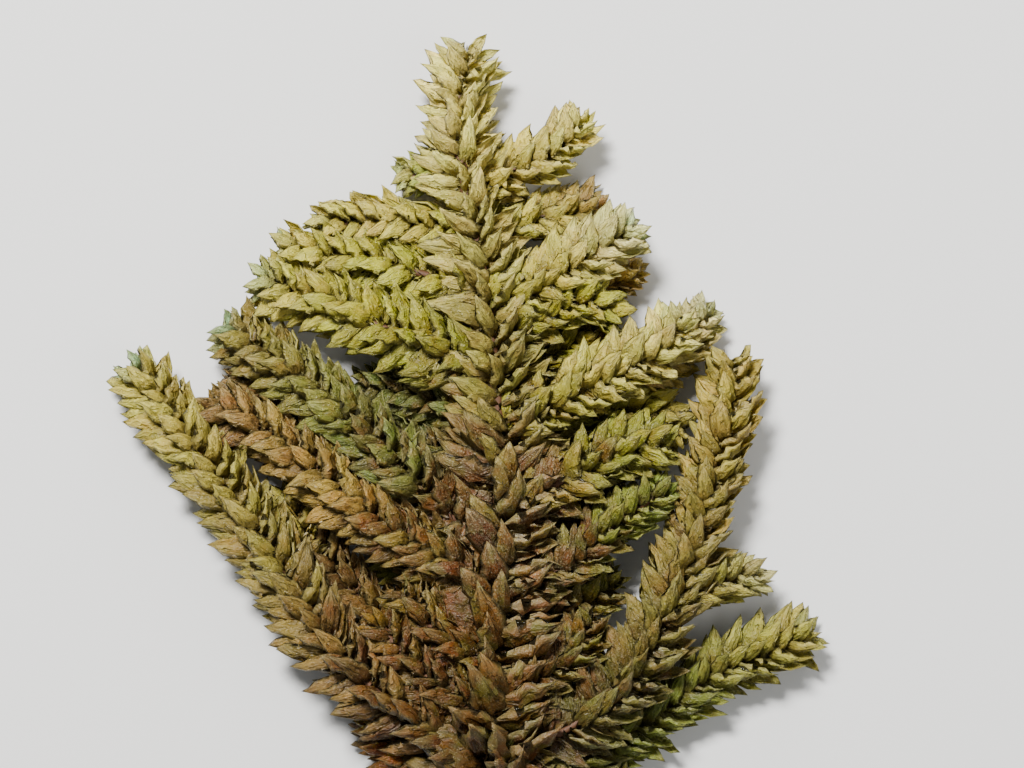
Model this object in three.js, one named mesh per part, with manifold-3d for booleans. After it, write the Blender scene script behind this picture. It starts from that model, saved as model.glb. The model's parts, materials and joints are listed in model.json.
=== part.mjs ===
// One dried leafy frond of the moss Calyptothecium duplicatum, lying on its back on a flat surface.
// Units are millimetres. The origin lies under the bare foot of the main stem. +Y runs up the frond to its
// apex, +X is to the right when the front of the frond is seen, and +Z points up from the surface.

import * as THREE from "three";
import * as BufferGeometryUtils from "three/addons/utils/BufferGeometryUtils.js";
import Module from "manifold-3d";

const wasm = await Module();
wasm.setup();
const { lerp } = THREE.MathUtils;

// Leaves. A blade is thicker than the papery real one, so that it is a sound solid.
// A leaf's length is measured along its stem, and its reach out from the stem's middle to its tip.
const branchLeafLength = 2.9;
const branchLeafWidth = 1.6;
const branchLeafSpacing = 0.84;
const branchReachShare = 1.12;
const stemLeafLength = 3.1;
const stemLeafWidth = 2.4;
const stemLeafSpacing = 0.7;
const stemLeafReach = 3;
const bladeThickness = 0.66;
const rootWidthShare = 0.3;
const rootDepthShare = 0.4;
const widestPlace = 0.42;
const widestHeightShare = 0.7;
const leastTipShare = 0.9;
const leastMiddleShare = 0.75;

// How small the youngest leaves in a bud are against full ones
const budLengthShare = 0.62;
const budWidthShare = 0.72;
const budReachShare = 0.45;
const stemBudShare = 0.7;
const stemBudReachShare = 0.5;

// How small the leaves of a slim shoot are against those of a broad one
const slimShootWidth = 1.9;
const broadShootWidth = 3.5;
const slimLeafShare = 0.83;
const broadLeafShare = 1.08;

// By what share a leaf may be larger or smaller than its neighbours
const sizeWander = 0.06;
const stemSizeWander = 0.08;

// Two turns of the leaf spiral hold five leaves, so the leaves stand in five rows.
const leafTurn = THREE.MathUtils.degToRad(144);
const splayTurn = THREE.MathUtils.degToRad(24);
const turnWander = THREE.MathUtils.degToRad(9);

// The main stem's leaves stand in two rows in front and two behind, and spread to the left and right.
const stemLeafTurns = [50, 130, 312, 228].map(THREE.MathUtils.degToRad);
const stemTurnWander = THREE.MathUtils.degToRad(12);

// The stem inside a leafy shoot, as shares of the shoot's leafy half width
const coreShare = 0.5;
const budCoreShare = 0.45;
const shootFlatness = 0.8;
const coreSides = 4;
const coreStep = 3.2;
const budLength = 2.6;
const leaflessTip = 0.9;
const branchLeafless = 0.7;

// Gaps kept between one shoot and the next
const stemGap = 0.3;
const leafGap = 0.12;

// The bare foot of the main stem
const footLength = 5.2;
const footRadius = 0.5;
const footLeafless = 3.4;
const footReachShare = 0.5;
const fullLeafPlace = 10.4;

// The least shared volume, in cubic millimetres, that counts as a crossing
const crossingVolume = 1e-6;
const mergeDistance = 1e-4;

const leafSeed = 20263;
const leafRoughness = 0.62;
const groundSize = 120;
const vertical = new THREE.Vector3(0, 0, 1);

// Colours of the dried leaves
const straw = 0xb9a86a;
const paleGreen = 0xa9ac66;
const yellowGreen = 0x8f9450;
const shadeGreen = 0x5f6f48;
const ochre = 0x9c7f4c;
const rust = 0x8a5f3e;
const olive = 0x7d7446;

// Every leafy shoot: its name, its leafy width, its colour, the shoot that it grows from, and its route.
// A route runs from the base to the tip, and each of its points is [right, up the frond, above the surface].
const leafyShoots = [
  {
    name: "main_stem", leafyWidth: 3.4, colour: olive, grownFrom: null,
    route: [[0, -1.2, 0.34], [0, 1.8, 0.34], [-0.2, 5, 1.1], [-0.6, 9, 2.6], [-0.7, 13, 3], [-0.3, 19.5, 3.1],
      [0, 24.5, 3.1], [-0.3, 30, 3.1], [-1, 35.5, 3], [-1.8, 39.6, 2.7], [-2.3, 43, 2.2], [-1.8, 48.2, 1.7]],
  },
  {
    name: "branch_left_4", leafyWidth: 3.7, colour: yellowGreen, grownFrom: "main_stem",
    route: [[-0.6, 30, 3], [-3.9, 31.4, 3.5], [-8.3, 33.2, 3.5], [-11.2, 34.3, 3.1], [-13.8, 35.4, 2.5]],
  },
  {
    name: "branch_right_3", leafyWidth: 2.9, colour: straw, grownFrom: "main_stem",
    route: [[-0.7, 33.2, 3], [1.7, 34.6, 3.5], [4, 36.1, 3.7], [7.9, 38.4, 3]],
  },
  {
    name: "branch_right_6", leafyWidth: 3.1, colour: olive, grownFrom: "main_stem",
    route: [[0, 22, 3], [3.1, 23.8, 3.6], [6.7, 25.8, 3.7], [8.6, 26.1, 3.4], [9.9, 25.6, 3.1]],
  },
  {
    name: "branch_right_5", leafyWidth: 3.1, colour: yellowGreen, grownFrom: "main_stem",
    route: [[-0.2, 26.7, 3], [2.5, 28.3, 3.5], [6.1, 30.1, 3.8], [8.7, 31.4, 3.7], [10.3, 33.5, 3]],
  },
  {
    name: "branch_left_5", leafyWidth: 3.4, colour: shadeGreen, grownFrom: "main_stem",
    route: [[-0.4, 20.4, 2.9], [-3.9, 23, 3.4], [-8.3, 27.3, 3.6], [-11.7, 30, 3.1], [-15.7, 32.8, 2.2]],
  },
  {
    name: "branch_left_6", leafyWidth: 3.2, colour: ochre, grownFrom: "main_stem",
    route: [[-0.5, 18.2, 3], [-4.2, 20.1, 3.6], [-8.3, 22.9, 3.6], [-12.2, 26.2, 3], [-16.6, 28.3, 1.9]],
  },
  {
    name: "branch_left_9", leafyWidth: 3.5, colour: straw, grownFrom: "main_stem",
    route: [[-0.7, 8.6, 2.5], [-3.4, 9.8, 3], [-8.8, 14.4, 3.3], [-13.2, 20.6, 2.9], [-17.2, 26.2, 2.4],
      [-20.8, 30.8, 1.6]],
  },
  {
    name: "branch_right_10", leafyWidth: 3.3, colour: straw, grownFrom: "main_stem",
    route: [[-0.6, 8.8, 2.6], [3.2, 10, 3], [7.2, 13.4, 3.4], [9.4, 17.6, 3.3], [11.4, 23.5, 2.9],
      [12.4, 27.6, 2.4], [12.9, 31.4, 1.7]],
  },
  {
    name: "branch_left_3", leafyWidth: 2.8, colour: straw, grownFrom: "main_stem",
    route: [[-1, 34, 2.9], [-3.9, 35.3, 2.8], [-8.3, 36.1, 2.6], [-12.9, 37, 1.9]],
  },
  {
    name: "branch_left_2", leafyWidth: 2.5, colour: straw, grownFrom: "main_stem",
    route: [[-1.5, 37.7, 2.6], [-4.4, 38, 2.5], [-7.6, 38.3, 2.1], [-10.8, 37.7, 1.5]],
  },
  {
    name: "branch_left_1", leafyWidth: 1.9, colour: olive, grownFrom: "main_stem",
    route: [[-2, 40.6, 2.2], [-3.8, 40.9, 1.4], [-6.2, 40.6, 1]],
  },
  {
    name: "branch_right_1", leafyWidth: 2.4, colour: straw, grownFrom: "main_stem",
    route: [[-2, 39.6, 2.5], [0.8, 41.2, 2.4], [3, 42.4, 2.3], [4.9, 44.7, 1.8]],
  },
  {
    name: "branch_right_2", leafyWidth: 2.7, colour: ochre, grownFrom: "main_stem",
    route: [[-1.5, 37, 2.3], [1.4, 38.3, 1.5], [3.9, 38.9, 1.4], [6.2, 39.3, 1.2]],
  },
  {
    name: "branch_right_4", leafyWidth: 2.4, colour: yellowGreen, grownFrom: "main_stem",
    route: [[-0.5, 31.6, 2.8], [2.2, 33.1, 3.1], [4.6, 33.9, 3.3], [7.2, 32.6, 2.9]],
  },
  {
    name: "branch_right_7", leafyWidth: 2.2, colour: olive, grownFrom: "main_stem",
    route: [[-0.3, 16.8, 2.9], [3.2, 19, 3.2], [6.2, 21.6, 3.5], [9.9, 23.9, 3.1]],
  },
  {
    name: "branch_left_8", leafyWidth: 2.4, colour: rust, grownFrom: "main_stem",
    route: [[-0.6, 13.6, 3], [-2.5, 14.8, 3.4], [-4.3, 16.5, 3.6], [-5.9, 18.6, 3.5]],
  },
  {
    name: "branch_left_8_lower", leafyWidth: 2.4, colour: rust, grownFrom: "main_stem",
    route: [[-0.7, 10.9, 2.9], [-3.4, 12.7, 3.4], [-5.5, 14.6, 3.6], [-7.2, 17, 3.4]],
  },
  {
    name: "branch_right_9", leafyWidth: 2.4, colour: olive, grownFrom: "main_stem",
    route: [[-0.6, 11.6, 2.9], [2, 13.1, 3.3], [4.1, 14.9, 3.5], [5.4, 17, 3.4]],
  },
  {
    name: "branch_left_4_lower", leafyWidth: 2.4, colour: shadeGreen, grownFrom: "main_stem",
    route: [[-0.3, 26.4, 2.4], [-2.8, 28, 1.7], [-6.1, 28.9, 1.3], [-8.6, 29.4, 1.2]],
  },
  {
    name: "branch_left_5_upper", leafyWidth: 2.4, colour: shadeGreen, grownFrom: "main_stem",
    route: [[-0.3, 23.6, 2.4], [-2.6, 25, 1.7], [-4.6, 26, 1.3], [-6.6, 26.7, 1.2]],
  },
  {
    name: "branch_right_3_behind", leafyWidth: 2.4, colour: rust, grownFrom: "main_stem",
    route: [[-0.6, 31.2, 2.3], [2.2, 33.4, 1.4], [5, 34.8, 1.2], [8.3, 35.9, 1.2]],
  },
  {
    name: "branch_right_4_lower", leafyWidth: 2.2, colour: olive, grownFrom: "main_stem",
    route: [[-0.3, 29, 2.4], [2.2, 30.8, 1.5], [4.6, 31.7, 1.2], [6.9, 31.9, 1.2]],
  },
  {
    name: "branch_right_5_lower", leafyWidth: 2.5, colour: yellowGreen, grownFrom: "main_stem",
    route: [[0, 24.4, 2.4], [2.6, 26.7, 1.5], [5.4, 27.9, 1.3], [8.1, 27.8, 1.3], [10.8, 26.4, 1.2]],
  },
  {
    name: "branch_right_6_lower", leafyWidth: 2.4, colour: rust, grownFrom: "main_stem",
    route: [[0, 19.4, 2.3], [2.2, 21.3, 1.5], [4.7, 22.9, 1.3], [7.5, 23.7, 1.2]],
  },
  {
    name: "branch_left_7", leafyWidth: 2.6, colour: olive, grownFrom: "main_stem",
    route: [[-0.4, 16.4, 2.3], [-2.6, 17.9, 1.4], [-4.6, 19.3, 1.2], [-7.2, 20.3, 1.2]],
  },
  {
    name: "branch_left_7_lower", leafyWidth: 2.7, colour: rust, grownFrom: "main_stem",
    route: [[-0.7, 12.4, 2.3], [-3.6, 14.6, 1.3], [-7, 16.7, 1.2], [-9.3, 19, 1.2], [-10.8, 21.6, 1.1]],
  },
  {
    name: "branch_right_8", leafyWidth: 2.3, colour: olive, grownFrom: "main_stem",
    route: [[-0.6, 14.2, 2.3], [2.3, 15.9, 1.4], [4.9, 17.5, 1.3], [6.7, 19.4, 1.2]],
  },
  {
    name: "branch_left_10", leafyWidth: 2.2, colour: rust, grownFrom: "main_stem",
    route: [[-0.3, 6.3, 1.8], [-2.9, 7.6, 1.2], [-5.4, 9, 1.1], [-7.9, 11.2, 1.1]],
  },
  {
    name: "branch_right_11", leafyWidth: 2.8, colour: paleGreen, grownFrom: "main_stem",
    route: [[-0.3, 6.6, 1.8], [3.2, 8.3, 1.4], [7.8, 10.7, 1.5], [12.3, 13.6, 1.6], [17.8, 15.9, 1.3]],
  },
  {
    name: "branch_right_12", leafyWidth: 2.2, colour: shadeGreen, grownFrom: "main_stem",
    route: [[0, 4, 1.1], [2.4, 5, 1], [4.8, 6.3, 1], [7.9, 7.8, 1]],
  },
  {
    name: "branchlet_left_9", leafyWidth: 2, colour: ochre, grownFrom: "branch_left_9",
    route: [[-11.8, 18.6, 2.7], [-11.2, 20.5, 1.7], [-11.7, 22.3, 1.3], [-12.5, 24.2, 1.2]],
  },
  {
    name: "branchlet_left_6", leafyWidth: 2.3, colour: rust, grownFrom: "branch_left_6",
    route: [[-7.6, 22.5, 3.2], [-8.9, 25, 1.6], [-11.6, 27.8, 1.2], [-15.3, 30.3, 1.1]],
  },
  {
    name: "branchlet_right_10", leafyWidth: 1.9, colour: straw, grownFrom: "branch_right_10",
    route: [[9.3, 17.5, 3.2], [11.2, 18.1, 2.8], [13.1, 18.7, 2.4], [15.1, 18.5, 1.6]],
  },
  {
    name: "branchlet_right_5", leafyWidth: 2.5, colour: straw, grownFrom: "branch_right_5",
    route: [[6.6, 30.5, 3.4], [8.8, 30.5, 1.6], [10.5, 32.1, 1.3], [11.9, 34.1, 1.3]],
  },
];

// A repeatable random number source, so that the frond is the same each time it is made
function randomSource(seed) {
  const multiplier = 1664525;
  const increment = 1013904223;
  const range = 2 ** 32;
  let state = seed;
  return () => {
    state = (Math.imul(state, multiplier) + increment) >>> 0;
    return state / range;
  };
}

// A share close to one, drawn evenly from the reach on both sides of it
function aboutOne(random, reach) {
  return 1 + reach * (2 * random() - 1);
}

// A closed solid through rings of points from the root to the end. The last ring may be one point.
function loft(rings) {
  const sides = rings[0].length;
  const points = rings.flat();
  const triangles = [];
  for (let side = 1; side < sides - 1; side += 1) {
    triangles.push(0, side, side + 1);
  }
  let start = 0;
  for (const ring of rings.slice(1)) {
    const next = start + sides;
    for (let side = 0; side < sides; side += 1) {
      const beside = (side + 1) % sides;
      if (ring.length === 1) {
        triangles.push(start + side, next, start + beside);
      } else {
        triangles.push(start + side, next + side, start + beside);
        triangles.push(start + beside, next + side, next + beside);
      }
    }
    start = next;
  }
  if (rings[rings.length - 1].length > 1) {
    for (let side = 1; side < sides - 1; side += 1) {
      triangles.push(start, start + side + 1, start + side);
    }
  }
  const geometry = new THREE.BufferGeometry().setFromPoints(points);
  geometry.setIndex(triangles);
  return solidOf(geometry);
}

// A geometry whose shared points are merged, as a solid that can be joined and cut
function solidOf(geometry) {
  geometry.deleteAttribute("normal");
  geometry.deleteAttribute("uv");
  const merged = BufferGeometryUtils.mergeVertices(geometry, mergeDistance);
  return new wasm.Manifold(new wasm.Mesh({
    numProp: 3,
    vertProperties: new Float32Array(merged.attributes.position.array),
    triVerts: new Uint32Array(merged.index.array),
  }));
}

// A solid as a mesh with the leaf material of its shoot
function meshOf(solid, name, colour) {
  const made = solid.getMesh();
  const geometry = new THREE.BufferGeometry();
  geometry.setAttribute("position", new THREE.BufferAttribute(made.vertProperties, made.numProp));
  geometry.setIndex(new THREE.BufferAttribute(made.triVerts, 1));
  geometry.computeVertexNormals();
  const material = new THREE.MeshStandardMaterial({ color: colour, roughness: leafRoughness, metalness: 0 });
  const mesh = new THREE.Mesh(geometry, material);
  mesh.name = name;
  return mesh;
}

// The place and the directions of a shoot at a distance from its base, also past its tip
function frameAt(shoot, distance) {
  const share = THREE.MathUtils.clamp(distance / shoot.length, 0, 1);
  const point = shoot.curve.getPointAt(share);
  const ahead = shoot.curve.getTangentAt(share);
  point.addScaledVector(ahead, distance - share * shoot.length);
  const side = new THREE.Vector3().crossVectors(ahead, vertical).normalize();
  const up = new THREE.Vector3().crossVectors(side, ahead);
  return { point, side, up };
}

// The direction that points out of a shoot at a turn round it, pressed flat from front to back
function spokeOf(frame, turn) {
  const spoke = frame.side.clone().multiplyScalar(Math.cos(turn));
  return spoke.addScaledVector(frame.up, Math.sin(turn) * shootFlatness);
}

// The radius of the stem inside a shoot: thin at the bare foot, full along it and slim in the bud
function coreRadius(shoot, distance) {
  const full = coreShare * shoot.leafyWidth / 2;
  const intoBud = THREE.MathUtils.smoothstep(shoot.length - distance, 0, budLength);
  const radius = full * lerp(budCoreShare, 1, intoBud);
  if (shoot.grownFrom !== null) {
    return radius;
  }
  const pastFoot = THREE.MathUtils.smoothstep(distance, footLeafless, footLength);
  return lerp(footRadius, radius, pastFoot);
}

// The stem inside a shoot as a four-sided tube that ends in the bud, with some extra radius if asked
function stemCore(shoot, extraRadius) {
  const steps = Math.ceil(shoot.length / coreStep);
  const rings = [];
  for (let step = 0; step < steps; step += 1) {
    const distance = shoot.length * step / steps;
    const frame = frameAt(shoot, distance);
    const radius = coreRadius(shoot, distance) + extraRadius;
    const ring = [];
    for (let corner = 0; corner < coreSides; corner += 1) {
      const spoke = spokeOf(frame, 2 * Math.PI * corner / coreSides);
      ring.push(frame.point.clone().addScaledVector(spoke, radius));
    }
    rings.push(ring);
  }
  rings.push([frameAt(shoot, shoot.length + extraRadius).point]);
  return loft(rings);
}

// One leaf blade: a narrow root sunk in the stem, a wide middle with a raised keel, and a drawn-out tip.
// Fit holds how far the leaf spreads and how long it is, each as a share of the full leaf.
function leafBlade(shoot, leaf, fit, extra) {
  const length = leaf.length * fit.length + extra;
  const halfWidth = leaf.width / 2 + extra;
  const root = frameAt(shoot, leaf.along);
  const middle = frameAt(shoot, leaf.along + widestPlace * length);
  const end = frameAt(shoot, leaf.along + length);
  const tipHeight = Math.max(leaf.reach * fit.spread, leaf.stemRadius * leastTipShare);
  const middleHeight = Math.max(tipHeight * widestHeightShare, leaf.stemRadius * leastMiddleShare);
  const rings = [
    bladeRing(root, leaf.turn, leaf.stemRadius * rootDepthShare, halfWidth * rootWidthShare, extra),
    bladeRing(middle, leaf.turn + leaf.splay / 2, middleHeight, halfWidth, extra),
    [end.point.clone().addScaledVector(spokeOf(end, leaf.turn + leaf.splay), tipHeight)],
  ];
  return loft(rings);
}

// A blade's section: one edge, the raised keel on the outer face, and the other edge
function bladeRing(frame, turn, height, halfWidth, extra) {
  const outward = spokeOf(frame, turn);
  const across = spokeOf(frame, turn + Math.PI / 2);
  const centre = frame.point.clone().addScaledVector(outward, height);
  outward.normalize();
  across.normalize();
  const inner = centre.clone().addScaledVector(outward, -0.5 * bladeThickness - extra);
  return [
    inner.clone().addScaledVector(across, -halfWidth),
    centre.clone().addScaledVector(outward, 0.5 * bladeThickness + extra),
    inner.clone().addScaledVector(across, halfWidth),
  ];
}

// How small a leaf at this place is against a full one: leaves get shorter and closer towards the bud
function budShare(shoot, along) {
  return THREE.MathUtils.clamp((shoot.length - along) / budLength, 0, 1);
}

// A branch's leaves stand in a spiral, and those in front and behind lean towards the nearer side.
function branchLeaves(shoot, random) {
  const breadth = THREE.MathUtils.clamp(shoot.leafyWidth, slimShootWidth, broadShootWidth);
  const sizeShare = THREE.MathUtils.mapLinear(
    breadth, slimShootWidth, broadShootWidth, slimLeafShare, broadLeafShare,
  );
  const fullReach = branchReachShare * shoot.leafyWidth / 2;
  const leaves = [];
  for (let along = branchLeafless; along < shoot.length - leaflessTip; along += branchLeafSpacing) {
    const count = leaves.length;
    const grown = budShare(shoot, along);
    const turn = count * leafTurn + turnWander * (2 * random() - 1);
    const lean = Math.sign(Math.cos(turn) * Math.sin(turn)) * Math.abs(Math.sin(turn));
    leaves.push({
      along,
      turn,
      splay: -splayTurn * lean,
      length: branchLeafLength * sizeShare * lerp(budLengthShare, 1, grown) * aboutOne(random, sizeWander),
      width: branchLeafWidth * sizeShare * lerp(budWidthShare, 1, grown),
      reach: fullReach * lerp(budReachShare, 1, grown) * aboutOne(random, sizeWander),
      stemRadius: coreRadius(shoot, along),
    });
  }
  return leaves;
}

// The main stem's leaves stand in four rows, larger and more spread than a branch's.
function mainStemLeaves(shoot, random) {
  const leaves = [];
  for (let along = footLeafless; along < shoot.length - leaflessTip; along += stemLeafSpacing) {
    const grown = budShare(shoot, along);
    const pastFoot = THREE.MathUtils.smoothstep(along, footLeafless, fullLeafPlace);
    const fullReach = stemLeafReach * lerp(footReachShare, 1, pastFoot);
    const row = stemLeafTurns[leaves.length % stemLeafTurns.length];
    leaves.push({
      along,
      turn: row + stemTurnWander * (2 * random() - 1),
      splay: 0,
      length: stemLeafLength * lerp(stemBudShare, 1, grown) * aboutOne(random, stemSizeWander),
      width: stemLeafWidth * lerp(stemBudShare, 1, grown),
      reach: fullReach * lerp(stemBudReachShare, 1, grown) * aboutOne(random, stemSizeWander),
      stemRadius: coreRadius(shoot, along),
    });
  }
  return leaves;
}

function boxesMeet(first, second) {
  return [0, 1, 2].every((axis) => first.min[axis] < second.max[axis] && second.min[axis] < first.max[axis]);
}

// Whether a solid reaches into anything that belongs to another shoot
function crossesAnother(solid, shoot, placed) {
  const box = solid.boundingBox();
  return placed.some((other) => {
    if (other.shoot === shoot || !boxesMeet(box, other.box)) {
      return false;
    }
    const shared = solid.intersect(other.solid);
    const volume = shared.volume();
    shared.delete();
    return volume > crossingVolume;
  });
}

// The largest body of a solid: cutting can leave loose scraps of a leaf behind
function largestBody(solid) {
  return solid.decompose().reduce((best, body) => (body.volume() > best.volume() ? body : best));
}

// How a leaf that would cross another shoot is tried again: held closer to its own stem, then shorter
const leafFits = [
  { spread: 1, length: 1 },
  { spread: 0.8, length: 1 },
  { spread: 0.62, length: 0.92 },
  { spread: 0.45, length: 0.8 },
  { spread: 0.4, length: 0.62 },
];

const byName = new Map();
for (const shoot of leafyShoots) {
  const places = shoot.route.map((place) => new THREE.Vector3(...place));
  shoot.curve = new THREE.CatmullRomCurve3(places, false, "centripetal");
  shoot.length = shoot.curve.getLength();
  byName.set(shoot.name, shoot);
}

// The stems come first, each cut back from the shoot that it grows from.
const placed = [];
for (const shoot of leafyShoots) {
  shoot.core = stemCore(shoot, 0);
  if (shoot.grownFrom !== null) {
    shoot.cutter = stemCore(byName.get(shoot.grownFrom), stemGap);
    shoot.core = largestBody(shoot.core.subtract(shoot.cutter));
  }
  placed.push({ shoot, solid: shoot.core, box: shoot.core.boundingBox() });
}

// Then the leaves, shoot by shoot, each bent clear of whatever stands beside it.
const random = randomSource(leafSeed);
for (const shoot of leafyShoots) {
  let whole = shoot.core;
  const leaves = shoot.grownFrom === null ? mainStemLeaves(shoot, random) : branchLeaves(shoot, random);
  for (const leaf of leaves) {
    const fit = leafFits.find((trial) => {
      const grown = leafBlade(shoot, leaf, trial, leafGap);
      return !crossesAnother(grown, shoot, placed);
    });
    if (fit === undefined) {
      continue;
    }
    const blade = leafBlade(shoot, leaf, fit, 0);
    placed.push({ shoot, solid: blade, box: blade.boundingBox() });
    whole = whole.add(blade);
  }
  if (shoot.cutter !== undefined) {
    whole = whole.subtract(shoot.cutter);
  }
  shoot.solid = whole;
}

// What would lie below the surface is pressed flat on it.
const groundBlock = new THREE.BoxGeometry(groundSize, groundSize, groundSize);
groundBlock.translate(0, 0, -groundSize / 2);
const ground = solidOf(groundBlock);

const frond = new THREE.Group();
for (const shoot of leafyShoots) {
  const lying = largestBody(shoot.solid.subtract(ground));
  frond.add(meshOf(lying, shoot.name, shoot.colour));
}

export default frond;
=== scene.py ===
import json
import math
import random

import bmesh
import bpy
from bpy.props import FloatProperty, FloatVectorProperty, IntProperty, PointerProperty
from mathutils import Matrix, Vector

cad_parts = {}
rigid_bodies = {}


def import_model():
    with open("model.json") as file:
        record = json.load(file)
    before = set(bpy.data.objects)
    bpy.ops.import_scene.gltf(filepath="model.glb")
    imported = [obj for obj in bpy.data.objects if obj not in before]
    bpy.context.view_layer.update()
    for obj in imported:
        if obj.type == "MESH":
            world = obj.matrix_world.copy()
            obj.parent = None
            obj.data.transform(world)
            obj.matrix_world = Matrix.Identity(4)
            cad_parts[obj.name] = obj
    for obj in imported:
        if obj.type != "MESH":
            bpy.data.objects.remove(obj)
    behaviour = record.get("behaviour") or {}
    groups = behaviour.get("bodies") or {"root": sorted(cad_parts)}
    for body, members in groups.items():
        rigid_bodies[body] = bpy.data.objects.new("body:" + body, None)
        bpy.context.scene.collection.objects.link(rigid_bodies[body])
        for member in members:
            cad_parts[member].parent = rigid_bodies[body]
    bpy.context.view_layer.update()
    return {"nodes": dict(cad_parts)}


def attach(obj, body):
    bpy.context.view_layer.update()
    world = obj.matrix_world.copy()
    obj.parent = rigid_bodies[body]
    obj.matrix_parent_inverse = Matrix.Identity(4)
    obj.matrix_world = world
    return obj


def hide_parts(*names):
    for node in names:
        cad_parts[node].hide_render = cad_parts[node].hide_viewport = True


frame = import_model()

bl_info = {
    "name": "Dried moss frond",
    "version": (1, 0, 0),
    "blender": (4, 5, 0),
    "location": "View3D > Sidebar > Moss frond",
    "description": "Clothes the shoots of a dried moss frond in papery, overlapping leaves",
    "category": "Object",
}

# A millimetre, in the scene's metres
MM = 0.001

# Colours of dried leaves, as they look in daylight
CREAM = "#D3CB8C"
PALE_STRAW = "#CABD70"
STRAW = "#B0A354"
DULL_STRAW = "#AD9850"
AGED_STRAW = "#84753D"
WARM_STRAW = "#9A8045"
YELLOW_GREEN = "#9A963F"
LEAF_GREEN = "#808C40"
DULL_GREEN = "#74742F"
# A dark green that is partly the leaves' own and partly painted shade
GREEN_AND_PAINTED_SHADE = "#4F5728"
MOSS_GREEN = "#5F662C"
OLIVE = "#746A32"
OCHRE = "#A07F3C"
TAN = "#A3824C"
DULL_TAN = "#7E643D"
PINK_TAN = "#A57C52"
RUST = "#7B4827"
UMBER = "#664628"

# Every leafy shoot: the node that it stands for, its leafy width in millimetres, the colours of its leaves at
# the base, in the middle and at the tip, how mint-green its youngest leaves are, and its route. A route's
# points are [right, up the frond, above the surface] in millimetres, from base to tip.
MAIN_STEM = (
    ("main_stem", 5.2, (UMBER, OLIVE, PALE_STRAW), 0.2,
     ((0, -1.2, 0.34), (0, 1.8, 0.34), (-0.2, 5, 1.1), (-0.6, 9, 2.6), (-0.7, 13, 3), (-0.3, 19.5, 3.1),
      (0, 24.5, 3.1), (-0.3, 30, 3.1), (-1, 35.5, 3), (-1.8, 39.6, 2.7), (-2.3, 43, 2.2), (-1.8, 48.2, 1.7))),
)
LEFT_BRANCHES = (
    ("branch_left_1", 1.9, (OLIVE, LEAF_GREEN, STRAW), 0.3,
     ((-2, 40.6, 2.2), (-3.8, 40.9, 1.4), (-6.2, 40.6, 1))),
    ("branch_left_2", 2.5, (YELLOW_GREEN, STRAW, STRAW), 0.3,
     ((-1.5, 37.7, 2.6), (-4.4, 38, 2.5), (-7.6, 38.3, 2.1), (-10.8, 37.7, 1.5))),
    ("branch_left_3", 2.8, (YELLOW_GREEN, YELLOW_GREEN, STRAW), 0.5,
     ((-1, 34, 2.9), (-3.9, 35.3, 2.8), (-8.3, 36.1, 2.6), (-12.9, 37, 1.9))),
    ("branch_left_4", 3.7, (DULL_GREEN, YELLOW_GREEN, STRAW), 0.8,
     ((-0.6, 30, 3), (-3.9, 31.4, 3.5), (-8.3, 33.2, 3.5), (-11.2, 34.3, 3.1), (-13.8, 35.4, 2.5))),
    ("branch_left_4_lower", 2.4, (GREEN_AND_PAINTED_SHADE, GREEN_AND_PAINTED_SHADE, GREEN_AND_PAINTED_SHADE), 0,
     ((-0.3, 26.4, 2.4), (-2.8, 28, 1.7), (-6.1, 28.9, 1.3), (-8.6, 29.4, 1.2))),
    ("branch_left_5", 3.4, (GREEN_AND_PAINTED_SHADE, MOSS_GREEN, AGED_STRAW), 0.7,
     ((-0.4, 20.4, 2.9), (-3.9, 23, 3.4), (-8.3, 27.3, 3.6), (-11.7, 30, 3.1), (-15.7, 32.8, 2.2))),
    ("branch_left_5_upper", 2.4, (OLIVE, GREEN_AND_PAINTED_SHADE, GREEN_AND_PAINTED_SHADE), 0,
     ((-0.3, 23.6, 2.4), (-2.6, 25, 1.7), (-4.6, 26, 1.3), (-6.6, 26.7, 1.2))),
    ("branch_left_6", 3.2, (OLIVE, WARM_STRAW, DULL_TAN), 0,
     ((-0.5, 18.2, 3), (-4.2, 20.1, 3.6), (-8.3, 22.9, 3.6), (-12.2, 26.2, 3), (-16.6, 28.3, 1.9))),
    ("branch_left_7", 2.9, (OLIVE, DULL_GREEN, DULL_GREEN), 0,
     ((-0.4, 16.4, 2.3), (-2.6, 17.9, 1.4), (-4.6, 19.3, 1.2), (-7.2, 20.3, 1.2))),
    ("branch_left_7_lower", 2.9, (RUST, DULL_TAN, DULL_TAN), 0,
     ((-0.7, 12.4, 2.3), (-3.6, 14.6, 1.3), (-7, 16.7, 1.2), (-9.3, 19, 1.2), (-10.8, 21.6, 1.1))),
    ("branch_left_8", 2.4, (UMBER, OCHRE, OLIVE), 0,
     ((-0.6, 13.6, 3), (-2.5, 14.8, 3.4), (-4.3, 16.5, 3.6), (-5.9, 18.6, 3.5))),
    ("branch_left_8_lower", 2.4, (RUST, DULL_TAN, OCHRE), 0,
     ((-0.7, 10.9, 2.9), (-3.4, 12.7, 3.4), (-5.5, 14.6, 3.6), (-7.2, 17, 3.4))),
    ("branch_left_9", 3.5, (PINK_TAN, AGED_STRAW, STRAW), 0.8,
     ((-0.7, 8.6, 2.5), (-3.4, 9.8, 3), (-8.8, 14.4, 3.3), (-13.2, 20.6, 2.9), (-17.2, 26.2, 2.4),
      (-20.8, 30.8, 1.6))),
    ("branch_left_10", 2.2, (UMBER, RUST, RUST), 0,
     ((-0.3, 6.3, 1.8), (-2.9, 7.6, 1.2), (-5.4, 9, 1.1), (-7.9, 11.2, 1.1))),
)
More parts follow.
